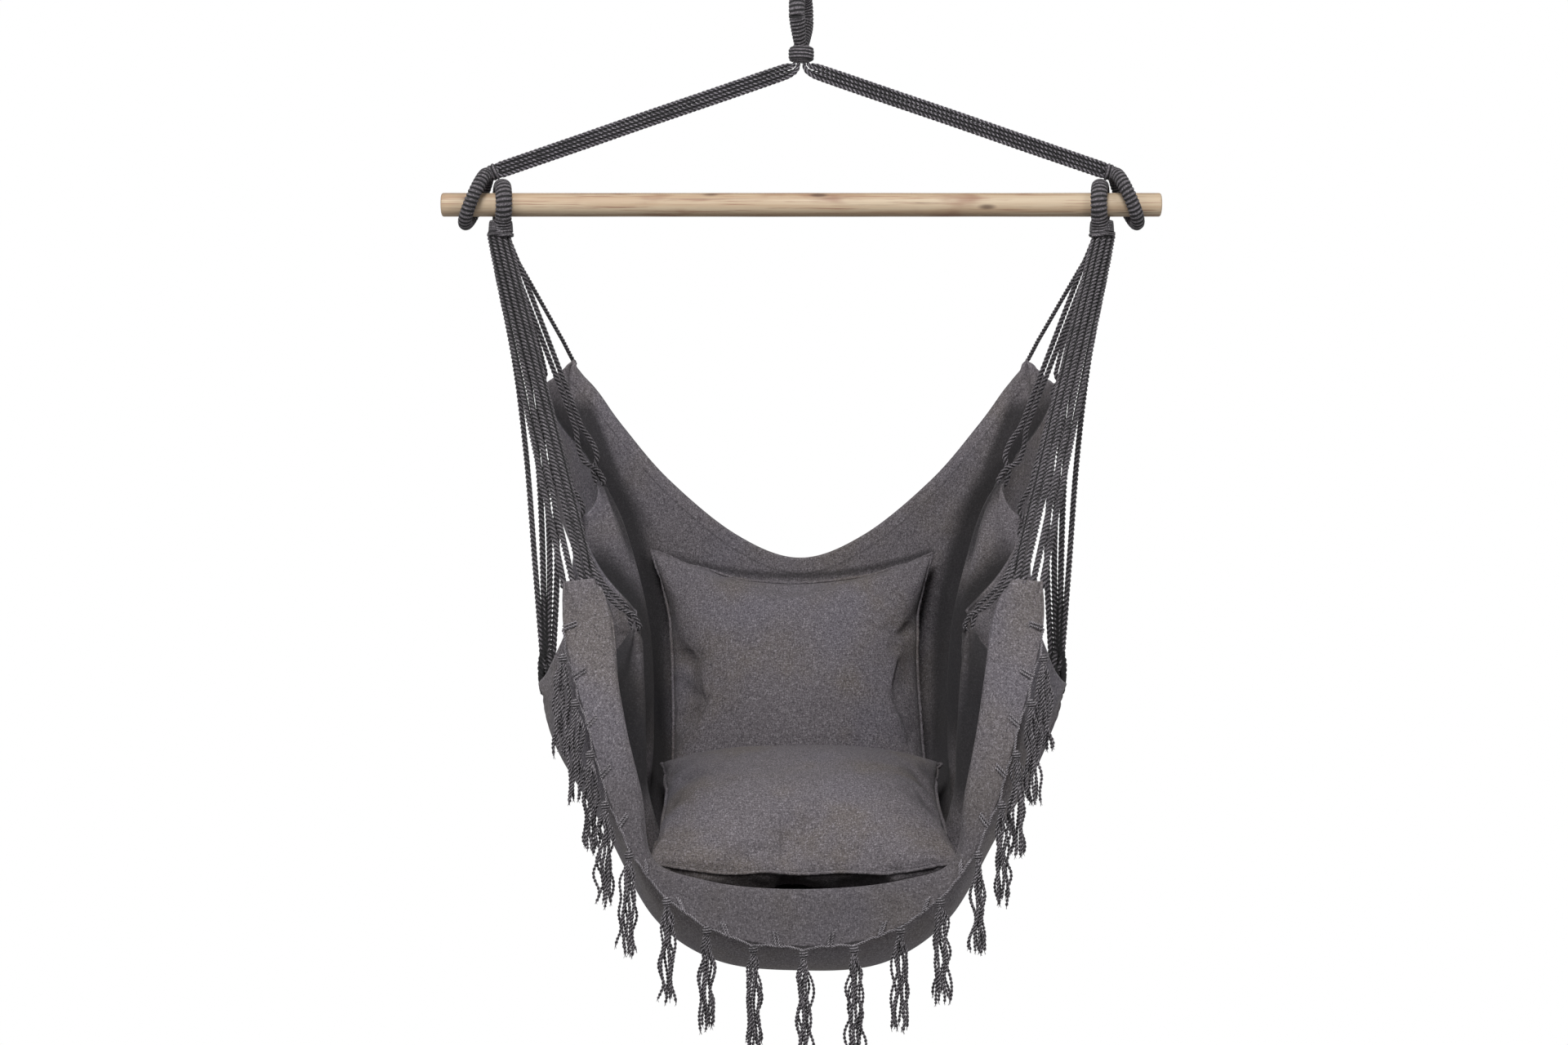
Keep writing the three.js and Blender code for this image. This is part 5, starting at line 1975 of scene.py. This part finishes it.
    def build(self) -> None:
        """Makes the cover, in the place of its node, and its seam."""
        start, faces, places, square = self.sheets()
        mesh = bpy.data.meshes.new(self.name)
        mesh.from_pydata((start * MM).tolist(), [], faces.tolist())
        layer = mesh.uv_layers.new(name="UVMap")
        layer.data.foreach_set("uv", places.reshape(-1).astype(np.float32))
        mesh.polygons.foreach_set("use_smooth", np.ones(len(faces), dtype=bool))
        made = linked(self.name, mesh)
        points = self.blow_up(made)
        points = self.shaped(self.fitted(points, start, square), square)
        centre = np.mean(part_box(self.node), axis=0) / MM
        c, s = math.cos(self.tilt), math.sin(self.tilt)
        turn = np.array([[1, 0, 0], [0, c, -s], [0, s, c]])
        placed = points @ turn.T + centre
        mesh.vertices.foreach_set("co", (placed * MM).astype(np.float32).ravel())
        mesh.update()
        smooth = made.modifiers.new("rounding", "SUBSURF")
        smooth.levels = smooth.render_levels = 1
        self.dress(made, self.body, self.finishes.cover, "cushion_cover", self.node)
        seam = mesh_object(f"{self.name}_welt", [self._seam(placed, vec(0, -s, c))])
        self.dress(seam, self.body, self.finishes.cover, "cushion_cover")

    def _seam(self, placed: Array, up: Array) -> Patch:
        """Makes the welt along the seam.

        Args:
            placed: The cover's points in place.
            up: The cushion's own upward direction.

        Returns:
            The welt's surface.
        """
        n = self.cells
        grid = np.arange((n + 1) ** 2).reshape(n + 1, n + 1)
        ring = np.concatenate([grid[0, :-1], grid[:-1, -1], grid[-1, :0:-1], grid[:0:-1, 0]])
        loop = placed[ring]
        even = resample(np.concatenate([loop, loop[:1]]), 2.0)[:-1]
        radius = np.full((len(even), 8), self.welt_radius)
        radius = radius + self.welt_uneven * np.sin(np.arange(len(even)) * 1.1)[:, None]
        return sweep(even, radius, up, closed=True)


# Studio

@dataclass(frozen=True)
class Lamp:
    """A soft square light: where it stands, the height it points at, its width and its power."""

    name: str
    stand: tuple[float, float, float]
    aim_height: float
    size: float
    power: float

    def build(self) -> Object:
        """Makes the light.

        Returns:
            The object.
        """
        data = bpy.data.lights.new(self.name, "AREA")
        data.shape = "SQUARE"
        data.size = self.size
        data.energy = self.power
        lamp = linked(self.name, data)
        lamp.location = self.stand
        way = Vector((0, 0, self.aim_height)) - Vector(self.stand)
        lamp.rotation_euler = way.to_track_quat("-Z", "Y").to_euler()
        return lamp


@dataclass
class Studio:
    """Camera, lights, floor and background, in metres."""

    eye: tuple[float, float, float] = (-0.024, -3.273, -0.727)
    lens: float = 54.02
    fill: float = 0.15
    key: float = 98.0
    floor_drop: float = 1.75
    floor_rings: tuple[float, ...] = (1.0, 2.0, 4.0, 8.0, 30.0)
    floor_grey: float = 0.86
    floor_white: tuple[float, float] = (0.7, 1.15)
    floor_glow: float = 0.36

    def build(self) -> None:
        """Sets up the view and the light."""
        scene = bpy.context.scene
        camera = linked("camera", bpy.data.cameras.new("camera"))
        camera.data.lens = self.lens
        camera.data.sensor_width = 36.0
        camera.data.clip_end = 60.0
        camera.location = self.eye
        camera.rotation_euler = (QUARTER, 0, 0)
        scene.camera = camera
        scene.view_settings.view_transform = "Standard"
        lamps = (
            Lamp("key_light", (-0.3, -2.3, 1.4), -0.9, 1.0, self.key * 0.92),
            Lamp("right_light", (2.1, -2.5, 0.3), -0.9, 1.2, self.key * 0.3),
            Lamp("left_light", (-2.2, -2.5, 0.5), -0.9, 1.2, self.key * 0.26),
            Lamp("rear_light_left", (-2.4, 2.6, -0.2), -0.8, 0.7, self.key * 0.3),
            Lamp("rear_light_right", (2.4, 2.6, -0.2), -0.8, 0.7, self.key * 0.3),
        )
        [lamp.build() for lamp in lamps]
        self._floor()
        self._background(scene)

    def _floor(self) -> Object:
        """Makes the pale floor, which turns white away from the chair.

        Returns:
            The object.
        """
        ring = np.array(self.floor_rings)[:, None] / MM
        angle = TURN * np.arange(48) / 48
        points = np.stack([ring * np.cos(angle), ring * np.sin(angle),
                           np.full((len(ring), 48), -self.floor_drop / MM)], axis=-1)
        made = mesh_object("floor", [Patch(points, solid=False)])
        g = Graph(bpy.data.materials.new("floor_white"))
        plain = g.add("ShaderNodeTexCoord", output="Object")
        away = g.add("ShaderNodeVectorMath", {"operation": "LENGTH"}, {0: plain}, "Value")
        seen = g.add("ShaderNodeLightPath", output="Is Camera Ray")
        grey = (self.floor_grey, self.floor_grey, self.floor_grey, 1)
        shade = g.add("ShaderNodeBsdfDiffuse", {}, {"Color": grey})
        glow = g.add("ShaderNodeEmission", {}, {"Color": WHITE, "Strength": 1.0})
        share = g.span(away, *self.floor_white) * (seen * (1 - self.floor_glow) + self.floor_glow)
        g.end("ShaderNodeOutputMaterial", g.add("ShaderNodeMixShader", {}, {0: share, 1: shade, 2: glow}))
        made.data.materials.append(g.owner)
        return made

    def _background(self, scene: bpy.types.Scene) -> None:
        """Makes the background white to the camera, and dim as a light.

        Args:
            scene: The scene.
        """
        scene.world = bpy.data.worlds.new("studio")
        g = Graph(scene.world)
        seen = g.add("ShaderNodeLightPath", output="Is Camera Ray")
        level = g.add("ShaderNodeMapRange", {}, {"Value": seen, "To Min": self.fill, "To Max": 1.0})
        back = g.add("ShaderNodeBackground", {}, {"Color": WHITE, "Strength": level})
        g.end("ShaderNodeOutputWorld", back)


def main() -> None:
    """Builds every piece, then the studio."""
    logging.basicConfig(level=logging.INFO, format="%(message)s")
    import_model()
    finishes = Finishes()
    surface = SlingSurface()
    SpreaderBar(finishes).build()
    HangingEye(finishes).build()
    for side, label in ((-1, "left"), (1, "right")):
        HangerLeg(finishes, side, label).build()
        InnerEye(finishes, side, label).build()
        Suspension(finishes, side, label, surface).build()
    SlingCloth(finishes, surface).build()
    Lacing(finishes, surface).build()
    for number, u in enumerate(TASSEL_PLACES, start=1):
        Tassel(finishes, number, surface.beside_flap(u, -KNOT_OUTSET, LACING_PROUD)).build()
    Cushion(finishes, "seat_cushion_cover", "seat_cushion", Body.SEAT, SEAT_TILT, seed=61,
            droop=30.0).build()
    Cushion(finishes, "back_cushion_cover", "back_cushion", Body.BACK, QUARTER - BACK_LEAN, seed=67,
            top_dip=34.0, ears=9.0, lean=-14.0).build()
    Studio().build()


if __name__ == "__main__":
    main()
